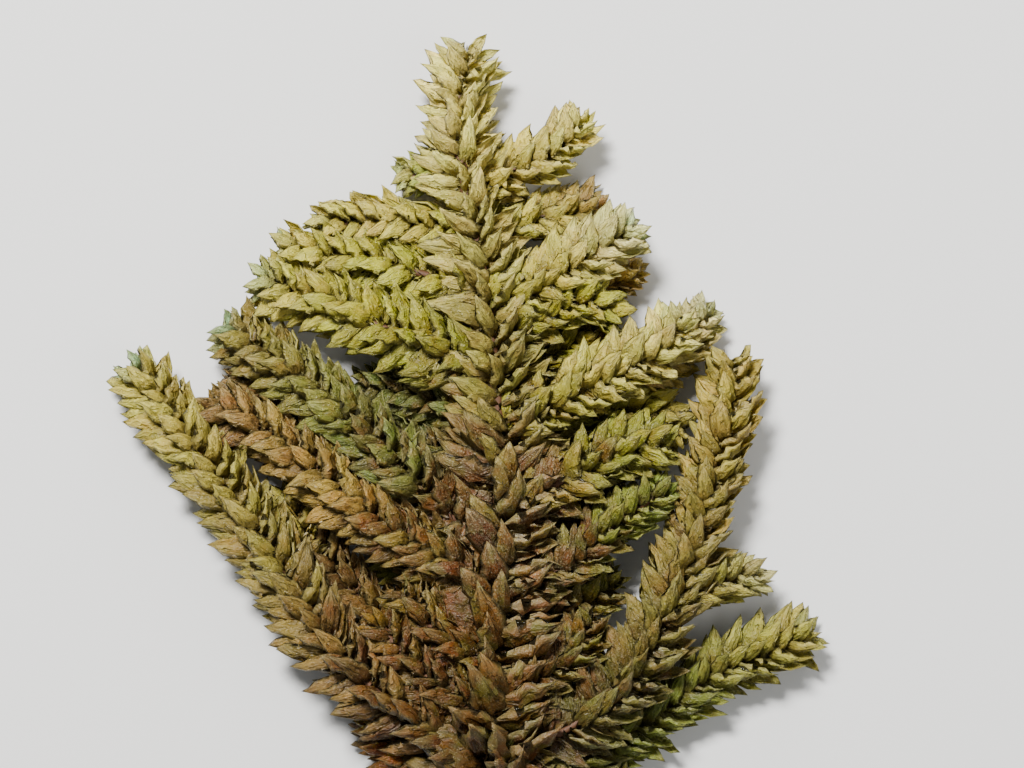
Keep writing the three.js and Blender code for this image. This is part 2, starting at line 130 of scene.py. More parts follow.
RIGHT_BRANCHES = (
    ("branch_right_1", 2.4, (DULL_STRAW, STRAW, PALE_STRAW), 0,
     ((-2, 39.6, 2.5), (0.8, 41.2, 2.4), (3, 42.4, 2.3), (4.9, 44.7, 1.8))),
    ("branch_right_2", 2.7, (YELLOW_GREEN, STRAW, DULL_TAN), 0,
     ((-1.5, 37, 2.3), (1.4, 38.3, 1.5), (3.9, 38.9, 1.4), (6.2, 39.3, 1.2))),
    ("branch_right_3", 2.9, (YELLOW_GREEN, STRAW, CREAM), 0.6,
     ((-0.7, 33.2, 3), (1.7, 34.6, 3.5), (4, 36.1, 3.7), (7.9, 38.4, 3))),
    ("branch_right_3_behind", 2.4, (OLIVE, OCHRE, TAN), 0,
     ((-0.6, 31.2, 2.3), (2.2, 33.4, 1.4), (5, 34.8, 1.2), (8.3, 35.9, 1.2))),
    ("branch_right_4", 2.4, (OLIVE, YELLOW_GREEN, YELLOW_GREEN), 0,
     ((-0.5, 31.6, 2.8), (2.2, 33.1, 3.1), (4.6, 33.9, 3.3), (7.2, 32.6, 2.9))),
    ("branch_right_4_lower", 2.2, (OLIVE, YELLOW_GREEN, OCHRE), 0,
     ((-0.3, 29, 2.4), (2.2, 30.8, 1.5), (4.6, 31.7, 1.2), (6.9, 31.9, 1.2))),
    ("branch_right_5", 3.1, (YELLOW_GREEN, STRAW, PALE_STRAW), 0.2,
     ((-0.2, 26.7, 3), (2.5, 28.3, 3.5), (6.1, 30.1, 3.8), (8.7, 31.4, 3.7), (10.3, 33.5, 3))),
    ("branch_right_5_lower", 2.5, (YELLOW_GREEN, YELLOW_GREEN, STRAW), 0,
     ((0, 24.4, 2.4), (2.6, 26.7, 1.5), (5.4, 27.9, 1.3), (8.1, 27.8, 1.3), (10.8, 26.4, 1.2))),
    ("branch_right_6", 3.1, (OCHRE, DULL_GREEN, YELLOW_GREEN), 0,
     ((0, 22, 3), (3.1, 23.8, 3.6), (6.7, 25.8, 3.7), (8.6, 26.1, 3.4), (9.9, 25.6, 3.1))),
    ("branch_right_6_lower", 2.4, (RUST, OLIVE, LEAF_GREEN), 0,
     ((0, 19.4, 2.3), (2.2, 21.3, 1.5), (4.7, 22.9, 1.3), (7.5, 23.7, 1.2))),
    ("branch_right_7", 2.2, (OLIVE, DULL_GREEN, LEAF_GREEN), 0,
     ((-0.3, 16.8, 2.9), (3.2, 19, 3.2), (6.2, 21.6, 3.5), (9.9, 23.9, 3.1))),
    ("branch_right_8", 2.3, (OLIVE, DULL_GREEN, DULL_GREEN), 0,
     ((-0.6, 14.2, 2.3), (2.3, 15.9, 1.4), (4.9, 17.5, 1.3), (6.7, 19.4, 1.2))),
    ("branch_right_9", 2.4, (UMBER, OLIVE, DULL_GREEN), 0,
     ((-0.6, 11.6, 2.9), (2, 13.1, 3.3), (4.1, 14.9, 3.5), (5.4, 17, 3.4))),
    ("branch_right_10", 3.3, (GREEN_AND_PAINTED_SHADE, AGED_STRAW, DULL_STRAW), 0.1,
     ((-0.6, 8.8, 2.6), (3.2, 10, 3), (7.2, 13.4, 3.4), (9.4, 17.6, 3.3), (11.4, 23.5, 2.9),
      (12.4, 27.6, 2.4), (12.9, 31.4, 1.7))),
    ("branch_right_11", 2.8, (LEAF_GREEN, LEAF_GREEN, STRAW), 0.3,
     ((-0.3, 6.6, 1.8), (3.2, 8.3, 1.4), (7.8, 10.7, 1.5), (12.3, 13.6, 1.6), (17.8, 15.9, 1.3))),
    ("branch_right_12", 2.2, (UMBER, GREEN_AND_PAINTED_SHADE, DULL_GREEN), 0,
     ((0, 4, 1.1), (2.4, 5, 1), (4.8, 6.3, 1), (7.9, 7.8, 1))),
)
BRANCHLETS = (
    ("branchlet_left_6", 2.3, (DULL_TAN, DULL_TAN, DULL_TAN), 0,
     ((-7.6, 22.5, 3.2), (-8.9, 25, 1.6), (-11.6, 27.8, 1.2), (-15.3, 30.3, 1.1))),
    ("branchlet_left_9", 2, (DULL_STRAW, DULL_STRAW, STRAW), 0,
     ((-11.8, 18.6, 2.7), (-11.2, 20.5, 1.7), (-11.7, 22.3, 1.3), (-12.5, 24.2, 1.2))),
    ("branchlet_right_5", 2.5, (TAN, DULL_STRAW, CREAM), 0.3,
     ((6.6, 30.5, 3.4), (8.8, 30.5, 1.6), (10.5, 32.1, 1.3), (11.9, 34.1, 1.3))),
    ("branchlet_right_10", 1.9, (STRAW, STRAW, CREAM), 0,
     ((9.3, 17.5, 3.2), (11.2, 18.1, 2.8), (13.1, 18.7, 2.4), (15.1, 18.5, 1.6))),
)

# The brown heart of the frond, where the oldest leaves are, in millimetres
HEART_PLACE = (-1.4, 15.0, 3.0)
HEART_REACH = (11.0, 17.0, 40.0)

# The place where a whitish crust has dried on the leaves, in millimetres
CRUST_PLACE = (0.6, 21.5, 3.0)
CRUST_REACH = (4.6, 6.5, 40.0)

# Heights up the frond between which leaves go from the darkest to the brightest, in millimetres
DARKEST_BELOW = 4
BRIGHTEST_ABOVE = 44
# Places across the frond between which leaves go from few green spots to many, in millimetres
FEW_GREEN_AT = -8
MANY_GREEN_AT = 6

# How unevenly leaves turn brown, from place to place and from leaf to leaf, as shares of the heart's reach
UNEVEN_BY_PLACE = 1.1
UNEVEN_BY_LEAF = 0.5
# Sizes of a leaf's brown patches, its red or green spots and its specks, in millimetres
PATCH_SIZE = 3.0
SPOT_SIZE = 1.1
SPECK_SIZE = 0.1
# How many fine folds a leaf has across its width and along its length
FOLDS_ACROSS = 4.6
FOLDS_ALONG = 3.8
# How deep the fine folds are at most, in millimetres
FINE_FOLD_DEPTH = 0.26
# How strongly the specks stand out against the fine folds, in the relief and in the painted shading
SPECK_RELIEF = 0.22
SPECK_SHADING = 0.6
# The factors that make a second draw, and a pattern of fine folds, from the one draw that a leaf carries
SECOND_DRAW = 7.31
FOLD_PATTERNS = 40.0
# Scale of the distances that light spreads inside a leaf, in millimetres
LIGHT_SPREAD = 0.4
# How far apart the ridges of the wiry stem are, how long they are and how deep, in millimetres
RIDGE_SPACING = 0.08
RIDGE_LENGTH = 0.8
RIDGE_DEPTH = 0.05

# Colours that a leaf takes in places, and the two colours of the wiry stem
BROWNED = "#684426"
RUSTED = "#603B23"
REDDENED = "#87502C"
STILL_GREEN = "#69702F"
MINT_GREEN = "#8FBF8A"
# A brown for a leaf's root that also carries painted shade
ROOT_BROWN_AND_SHADE = "#5C4727"
PALE_EDGE = "#CFC27E"
# A pale colour for dust and for painted glints
DUST_AND_GLINTS = "#DDD2A2"
CRUST = "#CABE9C"
STEM_DARK = "#3E2418"
STEM_LIGHT = "#6E4A2C"

# How many faces a leaf blade has across and along, on each of its two sides, and how many shapes there are
BLADE_ACROSS = 6
BLADE_ALONG = 7
BLADE_SHAPES = 12
BLADE_SEED = 100
# Half the width of a leaf at even steps from its root to its tip, where the widest place is a half
BLADE_OUTLINE = (0.34, 0.45, 0.5, 0.49, 0.44, 0.34, 0.18)
# Thickness of a dry leaf as a share of its width. The real one is thinner, too thin to show its edge.
BLADE_THICKNESS = 0.03

# How the shapes of leaves differ: the least and the most of each bend, for a leaf of length and width 1
BULGE = (0.18, 0.3)
CUP = (0.24, 0.48)
TIP_CURL = (-2.3, -0.1)
TIP_BEND = (-1.1, 1.1)
FOLD_PHASE = (-0.7, 0.7)
SIDE_SHIFT = (-0.08, 0.08)
TAPER = (0.0, 0.5)
FORWARD_BEND = (0.2, 0.6)
UNEVENNESS = (-0.07, 0.07)

# Where a leaf begins to taper and its tip to curl, from 0 at its root to 1 at its tip
TAPER_START = 0.4
CURL_START = 0.6
# The bulge ends a little before the tip.
BULGE_RATE = 1.05
# Depths of the folds along a leaf, of the wrinkles across it and of its ruffled edges
FOLD_DEPTH = 0.085
WRINKLE_DEPTH = 0.080
RUFFLE_DEPTH = 0.090
# How fast these go up and down: half waves from the leaf's middle to its edge for the folds, and radians
# along its length for the others. Wrinkles also slant, by so many radians from the middle to the edge.
FOLD_WAVES = 3
WRINKLE_RATE = 15
WRINKLE_SLANT = 1.9
RUFFLE_RATE = 10

# Each leaf stands three eighths of a turn round from the last, so that eight rows climb the shoot. The first
# stands a sixteenth of a turn round, so that four rows lie to the front and four to the back.
LEAF_TURN = math.radians(135)
FIRST_TURN = math.radians(22.5)
# How far a leaf strays in its turn, its spread and its roll, in radians, at a disorder of 1
TURN_STRAY = 0.18
SPREAD_STRAY = 0.12
ROLL_STRAY = 0.4
# Spread of the leaves in the bud and of those in the front and back rows, as shares of the full spread, and
# how much a leaf at the very side gains
BUD_SPREAD = 0.34
FRONT_SPREAD = 0.32
SIDE_SPREAD_GAIN = 0.74
# Size of the youngest leaves in the bud and of the lowest ones, which are full-grown at so many times the
# length of the leafless foot
BUD_LEAF_SIZE = 0.58
LOWEST_LEAF_SIZE = 0.55
FULL_LEAVES_AT = 2.2
# The least and the most of what is drawn for each leaf, as shares
SIZE_RANGE = (0.86, 1.14)
WIDTH_RANGE = (0.88, 1.12)
MINT_RANGE = (0.3, 1.1)
# Heights up the frond below which leaves are old and above which they are young, in millimetres
OLD_BELOW = 8
YOUNG_ABOVE = 26
# How far from a shoot's tip its leaves are fully mint-green, and how far they are at all, in millimetres
MINT_TIP = 0.7
MINT_END = 2.4
# Where a leaf's root stands, as a share of the stem's radius
ROOT_PLACE = 0.6
# The share of leaves that have fallen at a shoot's base
FALLEN_SHARE = 0.35
# Each of the draws that are made for a leaf has a number of its own, and shoots are so many numbers apart.
LEAF_DRAWS = {"turn": 1, "spread": 2, "roll": 3, "size": 4, "width": 5, "mint": 6, "colour": 7, "shape": 8,
              "fallen": 9}
SEED_STEP = 20
# The main stem is shoot 0. The numbers of the others start here.
FIRST_LEFT_BRANCH = 1
FIRST_RIGHT_BRANCH = 21
FIRST_BRANCHLET = 41

# The wiry stem: its sides, the length of its steps in millimetres, its thickness at the tip as a share of
# that at the base, how far along it has become so thin, and how far along the route it ends
STEM_SIDES = 10
STEM_STEP = 0.8
STEM_TIP_SHARE = 0.3
STEM_THIN_AT = 0.6
STEM_END = 0.95
# How many straight steps a route's curve makes between two of its points
ROUTE_STEPS = 12

# How leaves stand on the main stem and on a branch
MAIN_STEM_HABIT = {
    "Flatness": 0.28, "Tip flatness": 0.6, "Facing": 0.3, "Disorder": 1.8,
    "Base leaf share": 1.16, "Tip leaf share": 0.6, "Old leaf length": 1.0, "Old leaf width": 1.2,
    "Tip spread share": 0.52, "Leafless foot": 3.6 * MM, "Tip reach": 0.5 * MM, "Bud length": 4.5 * MM,
}
BRANCH_HABIT = {
    "Flatness": 0.3, "Tip flatness": 0.5, "Facing": 0.4, "Disorder": 1.3,
    "Base leaf share": 1.03, "Tip leaf share": 0.92, "Old leaf length": 1.16, "Old leaf width": 0.86,
    "Tip spread share": 1.0, "Leafless foot": 0.5 * MM, "Tip reach": 1.0 * MM, "Bud length": 2.6 * MM,
}
# The main stem's leaves spread by this angle, in radians.
MAIN_STEM_SPREAD = 1.3
# A branch's leaves spread until they reach its leafy width. The sine of their angle is that reach as a share
# of their length and a little more, up to a limit.
SPREAD_ALLOWANCE = 0.09
WIDEST_SPREAD_SINE = 0.86
# The broader a branch is, the longer its leaves are. Their share of the full length is a base and so much
# more for each millimetre, within the limits for a slim and a broad branch.
SLIM_BRANCH_LEAF = 0.78
BROAD_BRANCH_LEAF = 1.1
LEAF_SHARE_BASE = 0.55
LEAF_SHARE_PER_MM = 0.16

# The inputs of the geometry nodes that make a leafy shoot
SHOOT_INPUTS = (
    ("Route", "Geometry"), ("Leaf shapes", "Collection"), ("Leaf spacing", "Float"), ("Leaf length", "Float"),
    ("Leaf width", "Float"), ("Spread", "Float"), ("Flatness", "Float"), ("Tip flatness", "Float"),
    ("Facing", "Float"), ("Disorder", "Float"), ("Leafless foot", "Float"), ("Tip reach", "Float"),
    ("Base leaf share", "Float"), ("Tip leaf share", "Float"), ("Old leaf length", "Float"),
    ("Old leaf width", "Float"), ("Tip spread share", "Float"), ("Bud length", "Float"),
    ("Stem radius", "Float"), ("Base colour", "Color"), ("Middle colour", "Color"), ("Tip colour", "Color"),
    ("Young tips", "Float"), ("Seed", "Int"), ("Leaf finish", "Material"), ("Stem finish", "Material"),
)

# Below this height above the surface, leaves are pressed flatter and flatter, in metres
PRESS_HEIGHT = 0.35 * MM
LEAST_HEIGHT = 0.01 * MM

# The part of the surface that the photograph's frame takes in, how far the lens is, how wide its sensor is
# and from what distance on it sees, in millimetres
VIEW_CENTRE = (0.667, 29.33)
VIEW_WIDTH = 56.9
VIEW_DISTANCE = 380.0
SENSOR_WIDTH = 36.0
CLIP_START = 10.0
# The floor's side and the height above it that the lights point to, in millimetres
FLOOR_SIZE = 900.0
LIT_HEIGHT = 2.0
# Each light: its name, its place and its size in millimetres, and its power in watts
LIGHTS = (
    ("key light", (-80, 200, 290), 80, 2.9),
    ("fill light", (230, -60, 240), 260, 0.35),
    ("rim light", (60, 330, 90), 160, 0.38),
)
# Colour and strength of the light that the room gives from all sides
ROOM_COLOUR = (0.9, 0.95, 1.0, 1.0)
ROOM_STRENGTH = 0.22
PAPER_ROUGHNESS = 0.9


class FrondSettings(bpy.types.PropertyGroup):
    """Sizes and colours of the frond that a user may change"""

    leaf_spacing: FloatProperty(
        name="Leaf spacing", description="Distance along a branch from one leaf to the next",
        default=0.118 * MM, min=0.1 * MM, precision=5, unit="LENGTH")
    stem_leaf_spacing: FloatProperty(
        name="Stem leaf spacing", description="Distance along the main stem from one leaf to the next",
        default=0.115 * MM, min=0.1 * MM, precision=5, unit="LENGTH")
    leaf_length: FloatProperty(
        name="Leaf length", description="Length of a full-grown branch leaf",
        default=2.35 * MM, precision=5, unit="LENGTH")
    stem_leaf_length: FloatProperty(
        name="Stem leaf length", description="Length of a full-grown leaf of the main stem",
        default=4.1 * MM, precision=5, unit="LENGTH")
    leaf_slimness: FloatProperty(
        name="Leaf slimness", description="Width of a branch leaf as a share of its length",
        default=0.48, min=0.1)
    stem_leaf_slimness: FloatProperty(
        name="Stem leaf slimness", description="Width of a leaf of the main stem as a share of its length",
        default=0.39, min=0.1)
    stem_thickness: FloatProperty(
        name="Stem thickness", description="Thickness of the wiry stem inside a branch",
        default=0.4 * MM, precision=5, unit="LENGTH")
    foot_thickness: FloatProperty(
        name="Foot thickness", description="Thickness of the bare foot of the main stem",
        default=0.68 * MM, precision=5, unit="LENGTH")
    seed: IntProperty(name="Seed", description="Which of the random draws the leaves use", default=7)
    floor_colour: FloatVectorProperty(
        name="Floor colour", description="Colour of the pale surface that the frond lies on",
        default=(0.80, 0.79, 0.76), subtype="COLOR", size=3)


def settings():
    """The frond's settings in the scene."""
    return bpy.context.scene.moss_frond


def linear_colour(hex_colour):
    """An sRGB hex colour as linear red, green, blue and alpha."""
    channels = [int(hex_colour[i:i + 2], 16) / 255 for i in (1, 3, 5)]
    linear = [c / 12.92 if c <= 0.04045 else ((c + 0.055) / 1.055) ** 2.4 for c in channels]
    return (*linear, 1.0)


def add_node(tree, kind, links=None, **values):
    """Adds a node, sets its settings, and gives its inputs a value or a link to another node's output."""
    node = tree.nodes.new(kind)
    for name, value in values.items():
        setattr(node, name, value)
    for name, source in (links or {}).items():
        if isinstance(source, bpy.types.NodeSocket):
            tree.links.new(source, node.inputs[name])
        else:
            node.inputs[name].default_value = source
    return node


def leaf_blade_mesh(shape_number):
    """A leaf of length and width 1: a closed, cupped and wrinkled blade along +Z, with its back towards +X.

    Even shapes bend towards +Y and odd ones towards -Y."""
    draw = random.Random(BLADE_SEED + shape_number)
    bulge = draw.uniform(*BULGE)
    cup = draw.uniform(*CUP)
    tip_curl = draw.uniform(*TIP_CURL)
    tip_bend = draw.uniform(*TIP_BEND)
    wrinkle_phase = draw.uniform(0, 2 * math.pi)
    fold_phase = draw.uniform(*FOLD_PHASE)
    side_shift = draw.uniform(*SIDE_SHIFT)
    taper = draw.uniform(*TAPER)
    forward_bend = draw.uniform(*FORWARD_BEND) * (1 if shape_number % 2 == 0 else -1)
    edge_waves = [draw.uniform(*UNEVENNESS) for _ in range(2 * (BLADE_ALONG + 1))]
    crumple = [draw.uniform(*UNEVENNESS) for _ in range((BLADE_ALONG + 1) * (BLADE_ACROSS + 1))]

    def blade_half_width(across, along):
        """Half the leaf's width at a place, with its uneven edge."""
        if along >= 1:
            return 0.0
        place = along * BLADE_ALONG
        step = min(int(place), BLADE_ALONG - 1)
        after = BLADE_OUTLINE[step + 1] if step + 1 < BLADE_ALONG else 0.0
        half_width = BLADE_OUTLINE[step] + (after - BLADE_OUTLINE[step]) * (place - step)
        half_width += edge_waves[2 * step + (across > 0)] * min(1, 3 * abs(across))
        return half_width * (1 - taper * max(0.0, along - TAPER_START))

    def blade_point(across, along):
        """A point of the leaf, across from -1 to 1 and along from 0 to 1."""
        half_width = blade_half_width(across, along)
        breadth = half_width / 0.5
        past_middle = max(0.0, along - CURL_START)
        wrinkle_turn = WRINKLE_RATE * along + wrinkle_phase + WRINKLE_SLANT * across
        outward = bulge * math.sin(math.pi * min(1, along * BULGE_RATE)) + tip_curl * past_middle ** 2
        outward -= cup * across ** 2 * breadth * (0.5 + 0.5 * along)
        outward += FOLD_DEPTH * math.cos(FOLD_WAVES * math.pi * across + fold_phase) * breadth
        outward += WRINKLE_DEPTH * math.sin(wrinkle_turn) * breadth
        outward += RUFFLE_DEPTH * math.sin(RUFFLE_RATE * along + wrinkle_phase) * across ** 3 * breadth
        row = round(along * BLADE_ALONG)
        column = round((across + 1) / 2 * BLADE_ACROSS)
        outward += crumple[row * (BLADE_ACROSS + 1) + column] * breadth
        sideways = across * half_width + tip_bend * past_middle ** 2 + side_shift * math.sin(math.pi * along)
        sideways += forward_bend * along ** 2
        return Vector((outward, sideways, along))

    shape = bmesh.new()
    map_layer = shape.loops.layers.uv.new("leaf_map")
    half_thickness = BLADE_THICKNESS / 2
    front, back, places = {}, {}, {}
    tip = shape.verts.new(blade_point(0, 1))
    places[tip] = (0.5, 1.0)
    for row in range(BLADE_ALONG):
        for column in range(BLADE_ACROSS + 1):
            across = 2 * column / BLADE_ACROSS - 1
            along = row / BLADE_ALONG
            point = blade_point(across, along)
            on_edge = row == 0 or column in (0, BLADE_ACROSS)
            lift = Vector((0 if on_edge else half_thickness, 0, 0))
            front[row, column] = shape.verts.new(point + lift)
            back[row, column] = front[row, column] if on_edge else shape.verts.new(point - lift)
            places[front[row, column]] = ((across + 1) / 2, along)
            places[back[row, column]] = ((across + 1) / 2, along)
    for side in (front, back):
        for column in range(BLADE_ACROSS):
            for row in range(BLADE_ALONG - 1):
                below = (side[row, column], side[row, column + 1])
                above = (side[row + 1, column + 1], side[row + 1, column])
                corners = below + above
                shape.faces.new(corners if side is front else corners[::-1])
            last = (side[BLADE_ALONG - 1, column], side[BLADE_ALONG - 1, column + 1], tip)
            shape.faces.new(last if side is front else last[::-1])
    for face in shape.faces:
        face.smooth = True
        for loop in face.loops:
            loop[map_layer].uv = places[loop.vert]
    bmesh.ops.recalc_face_normals(shape, faces=shape.faces)
    mesh = bpy.data.meshes.new(f"leaf_blade_{shape_number:02d}")
    shape.to_mesh(mesh)
    shape.free()
    return mesh


def leaf_blades():
    """The collection of leaf shapes that the shoots draw from, made once and never shown."""
    collection = bpy.data.collections.get("leaf_blades")
    if collection is None:
        collection = bpy.data.collections.new("leaf_blades")
        for number in range(BLADE_SHAPES):
            collection.objects.link(bpy.data.objects.new(f"leaf_blade_{number:02d}", leaf_blade_mesh(number)))
    return collection


def clear_leaf_blades():
    """Takes the leaf shapes away again once every shoot has its leaves."""
    collection = bpy.data.collections.get("leaf_blades")
    if collection is not None:
        for blade in list(collection.objects):
            bpy.data.objects.remove(blade)
        bpy.data.collections.remove(collection)


def distance_in_reaches(tree, place, centre, reach):
    """How far a place is from a centre, where each axis is measured in its own reach, in millimetres."""
    mapped = add_node(tree, "ShaderNodeMapping", {
        "Vector": place,
        "Location": tuple(-c / r for c, r in zip(centre, reach)),
        "Scale": tuple(1 / (r * MM) for r in reach),
    }).outputs["Vector"]
    return add_node(tree, "ShaderNodeVectorMath", {0: mapped}, operation="LENGTH").outputs["Value"]


def dried_leaf_material():
    """Dried moss leaf: a papery sheet one cell thick, pleated as it dried, bleached straw or still green."""
    name = "dried moss leaf, papery"
    if name in bpy.data.materials:
        return bpy.data.materials[name]
    material = bpy.data.materials.new(name)
    material.use_nodes = True
    tree = material.node_tree
    tree.nodes.clear()
    colour = add_node(tree, "ShaderNodeAttribute", attribute_name="leaf_colour").outputs["Color"]
    drawn = add_node(tree, "ShaderNodeAttribute", attribute_name="leaf_draw").outputs["Fac"]
    young = add_node(tree, "ShaderNodeAttribute", attribute_name="leaf_young").outputs["Fac"]
    leaf_map = add_node(tree, "ShaderNodeUVMap", uv_map="leaf_map").outputs["UV"]
    on_leaf = add_node(tree, "ShaderNodeSeparateXYZ", {"Vector": leaf_map}).outputs
    place = add_node(tree, "ShaderNodeTexCoord").outputs["Object"]
    on_frond = add_node(tree, "ShaderNodeSeparateXYZ", {"Vector": place}).outputs

    # Older leaves in the heart of the frond have turned brown, in uneven patches some 3 mm across.
    heart_distance = distance_in_reaches(tree, place, HEART_PLACE, HEART_REACH)
    patches = add_node(tree, "ShaderNodeTexNoise", {
        "Vector": place, "Scale": 1 / (PATCH_SIZE * MM), "Detail": 3.0, "Roughness": 0.6}).outputs["Fac"]
    distance = heart_distance
    for pattern, reach in ((patches, UNEVEN_BY_PLACE), (drawn, UNEVEN_BY_LEAF)):
        uneven = add_node(tree, "ShaderNodeMath", {
            0: pattern, 1: reach, 2: -reach / 2}, operation="MULTIPLY_ADD").outputs[0]
        distance = add_node(tree, "ShaderNodeMath", {0: distance, 1: uneven}, operation="ADD").outputs[0]
    browned = add_node(tree, "ShaderNodeMapRange", {
        "Value": distance, "From Min": 0.2, "From Max": 1.0, "To Min": 0.85, "To Max": 0.0,
    }, interpolation_type="SMOOTHSTEP").outputs[0]

    # In the upper part of the heart some leaves have turned rusty red.
    crust_distance = distance_in_reaches(tree, place, CRUST_PLACE, CRUST_REACH)
    rusty = add_node(tree, "ShaderNodeMapRange", {
        "Value": crust_distance, "From Min": 0.4, "From Max": 1.3, "To Min": 1.0, "To Max": 0.0}).outputs[0]
    rusty_leaf = add_node(tree, "ShaderNodeMapRange", {
        "Value": drawn, "From Min": 0.3, "From Max": 0.6, "To Min": 0.85, "To Max": 0.3}).outputs[0]
    rusty = add_node(tree, "ShaderNodeMath", {0: rusty, 1: rusty_leaf}, operation="MULTIPLY").outputs[0]

    # A dried leaf keeps some of its green in one place and reddens in another, in spots about 1 mm across.
    spots = add_node(tree, "ShaderNodeTexNoise", {
        "Vector": place, "Scale": 1 / (SPOT_SIZE * MM), "Detail": 2.0, "Roughness": 0.55}).outputs["Fac"]
    old_share = add_node(tree, "ShaderNodeMapRange", {
        "Value": browned, "From Max": 0.85, "To Min": 0.2, "To Max": 0.55}).outputs[0]
    reddened = add_node(tree, "ShaderNodeMapRange", {
        "Value": spots, "From Min": 0.5, "From Max": 0.66, "To Min": 0.0, "To Max": 1.0}).outputs[0]
    reddened = add_node(tree, "ShaderNodeMath", {0: reddened, 1: old_share}, operation="MULTIPLY").outputs[0]
    still_green = add_node(tree, "ShaderNodeMapRange", {
        "Value": spots, "From Min": 0.36, "From Max": 0.5, "To Min": 1.0, "To Max": 0.0}).outputs[0]
    greener_side = add_node(tree, "ShaderNodeMapRange", {
        "Value": on_frond["X"], "From Min": FEW_GREEN_AT * MM, "From Max": MANY_GREEN_AT * MM,
        "To Min": 0.25, "To Max": 1.2}).outputs[0]
    for share in (old_share, greener_side):
        still_green = add_node(tree, "ShaderNodeMath", {
            0: still_green, 1: share}, operation="MULTIPLY").outputs[0]
    changes = ((browned, BROWNED), (rusty, RUSTED), (reddened, REDDENED), (still_green, STILL_GREEN))
    for share, changed in changes:
        colour = add_node(tree, "ShaderNodeMix", {
            0: share, 6: colour, 7: linear_colour(changed)}, data_type="RGBA").outputs[2]

    # Each leaf is a little lighter or darker, and greener or yellower, than the next.
    second_draw = add_node(tree, "ShaderNodeMath", {
        0: drawn, 1: SECOND_DRAW}, operation="MULTIPLY").outputs[0]
    second_draw = add_node(tree, "ShaderNodeMath", {0: second_draw}, operation="FRACT").outputs[0]
    hue = add_node(tree, "ShaderNodeMapRange", {
        "Value": second_draw, "To Min": 0.489, "To Max": 0.511}).outputs[0]
    value = add_node(tree, "ShaderNodeMapRange", {"Value": drawn, "To Min": 0.84, "To Max": 1.45}).outputs[0]
    colour = add_node(tree, "ShaderNodeHueSaturation", {
        "Hue": hue, "Saturation": 1.12, "Value": value, "Fac": 1.0, "Color": colour}).outputs[0]

    # The youngest leaves at a shoot's tip are mint-green. Every leaf is darker and browner at its root,
    # partly its own brown and partly painted shade, and pale at its drawn-out tip and along its edges.
    root = add_node(tree, "ShaderNodeMapRange", {
        "Value": on_leaf["Y"], "From Min": 0.05, "From Max": 0.6, "To Min": 0.62, "To Max": 0.0}).outputs[0]
    tip = add_node(tree, "ShaderNodeMapRange", {
        "Value": on_leaf["Y"], "From Min": 0.62, "From Max": 1.0, "To Min": 0.0, "To Max": 0.25}).outputs[0]
    across = add_node(tree, "ShaderNodeMath", {0: on_leaf["X"], 1: 0.5}, operation="SUBTRACT").outputs[0]
    across = add_node(tree, "ShaderNodeMath", {0: across}, operation="ABSOLUTE").outputs[0]
    edge = add_node(tree, "ShaderNodeMapRange", {
        "Value": across, "From Min": 0.36, "From Max": 0.5, "To Min": 0.0, "To Max": 0.3}).outputs[0]
    pale = add_node(tree, "ShaderNodeMath", {0: tip, 1: edge}, operation="MAXIMUM").outputs[0]
    for share, changed in ((young, MINT_GREEN), (root, ROOT_BROWN_AND_SHADE), (pale, PALE_EDGE)):
        colour = add_node(tree, "ShaderNodeMix", {
            0: share, 6: colour, 7: linear_colour(changed)}, data_type="RGBA").outputs[2]

    # Fine dry folds run mostly along the leaf, some 0.25 mm apart on a branch's leaves, and the largest have
    # a crest.
    pleat_map = add_node(tree, "ShaderNodeMapping", {
        "Vector": leaf_map, "Scale": (FOLDS_ACROSS, FOLDS_ALONG, 1.0)}).outputs[0]
    pleat_seed = add_node(tree, "ShaderNodeMath", {
        0: drawn, 1: FOLD_PATTERNS}, operation="MULTIPLY").outputs[0]
    pleats = add_node(tree, "ShaderNodeTexNoise", {
        "Vector": pleat_map, "W": pleat_seed, "Scale": 1.0, "Detail": 2.0, "Roughness": 0.42,
        "Distortion": 0.9,
    }, noise_dimensions="4D").outputs["Fac"]
    off_crest = add_node(tree, "ShaderNodeMath", {0: pleats, 1: 0.5}, operation="SUBTRACT").outputs[0]
    off_crest = add_node(tree, "ShaderNodeMath", {0: off_crest}, operation="ABSOLUTE").outputs[0]
    crests = add_node(tree, "ShaderNodeMapRange", {
        "Value": off_crest, "From Min": 0.0, "From Max": 0.09, "To Min": 0.2, "To Max": 0.0}).outputs[0]
    folds = add_node(tree, "ShaderNodeMath", {0: pleats, 1: crests}, operation="ADD").outputs[0]
    # Real leaf cells are too fine to show. They, the dust and the painted glints are drawn as specks of 0.1
    # mm, which is coarser.
    specks = add_node(tree, "ShaderNodeTexNoise", {
        "Vector": place, "Scale": 1 / (SPECK_SIZE * MM), "Detail": 2.0, "Roughness": 0.7}).outputs["Fac"]
    relief = add_node(tree, "ShaderNodeMath", {
        0: specks, 1: SPECK_RELIEF, 2: folds}, operation="MULTIPLY_ADD").outputs[0]
    # The folds and specks also lighten and darken the leaf's colour: painted shade in the folds' valleys and
    # a painted highlight on their crests.
    fold_and_speck_shading = add_node(tree, "ShaderNodeMath", {
        0: specks, 1: SPECK_SHADING, 2: folds}, operation="MULTIPLY_ADD").outputs[0]
    shade = add_node(tree, "ShaderNodeMapRange", {
        "Value": fold_and_speck_shading, "From Min": 0.6, "From Max": 1.15, "To Min": 0.74, "To Max": 1.36}).outputs[0]
    colour = add_node(tree, "ShaderNodeVectorMath", {0: colour, 3: shade}, operation="SCALE").outputs[0]
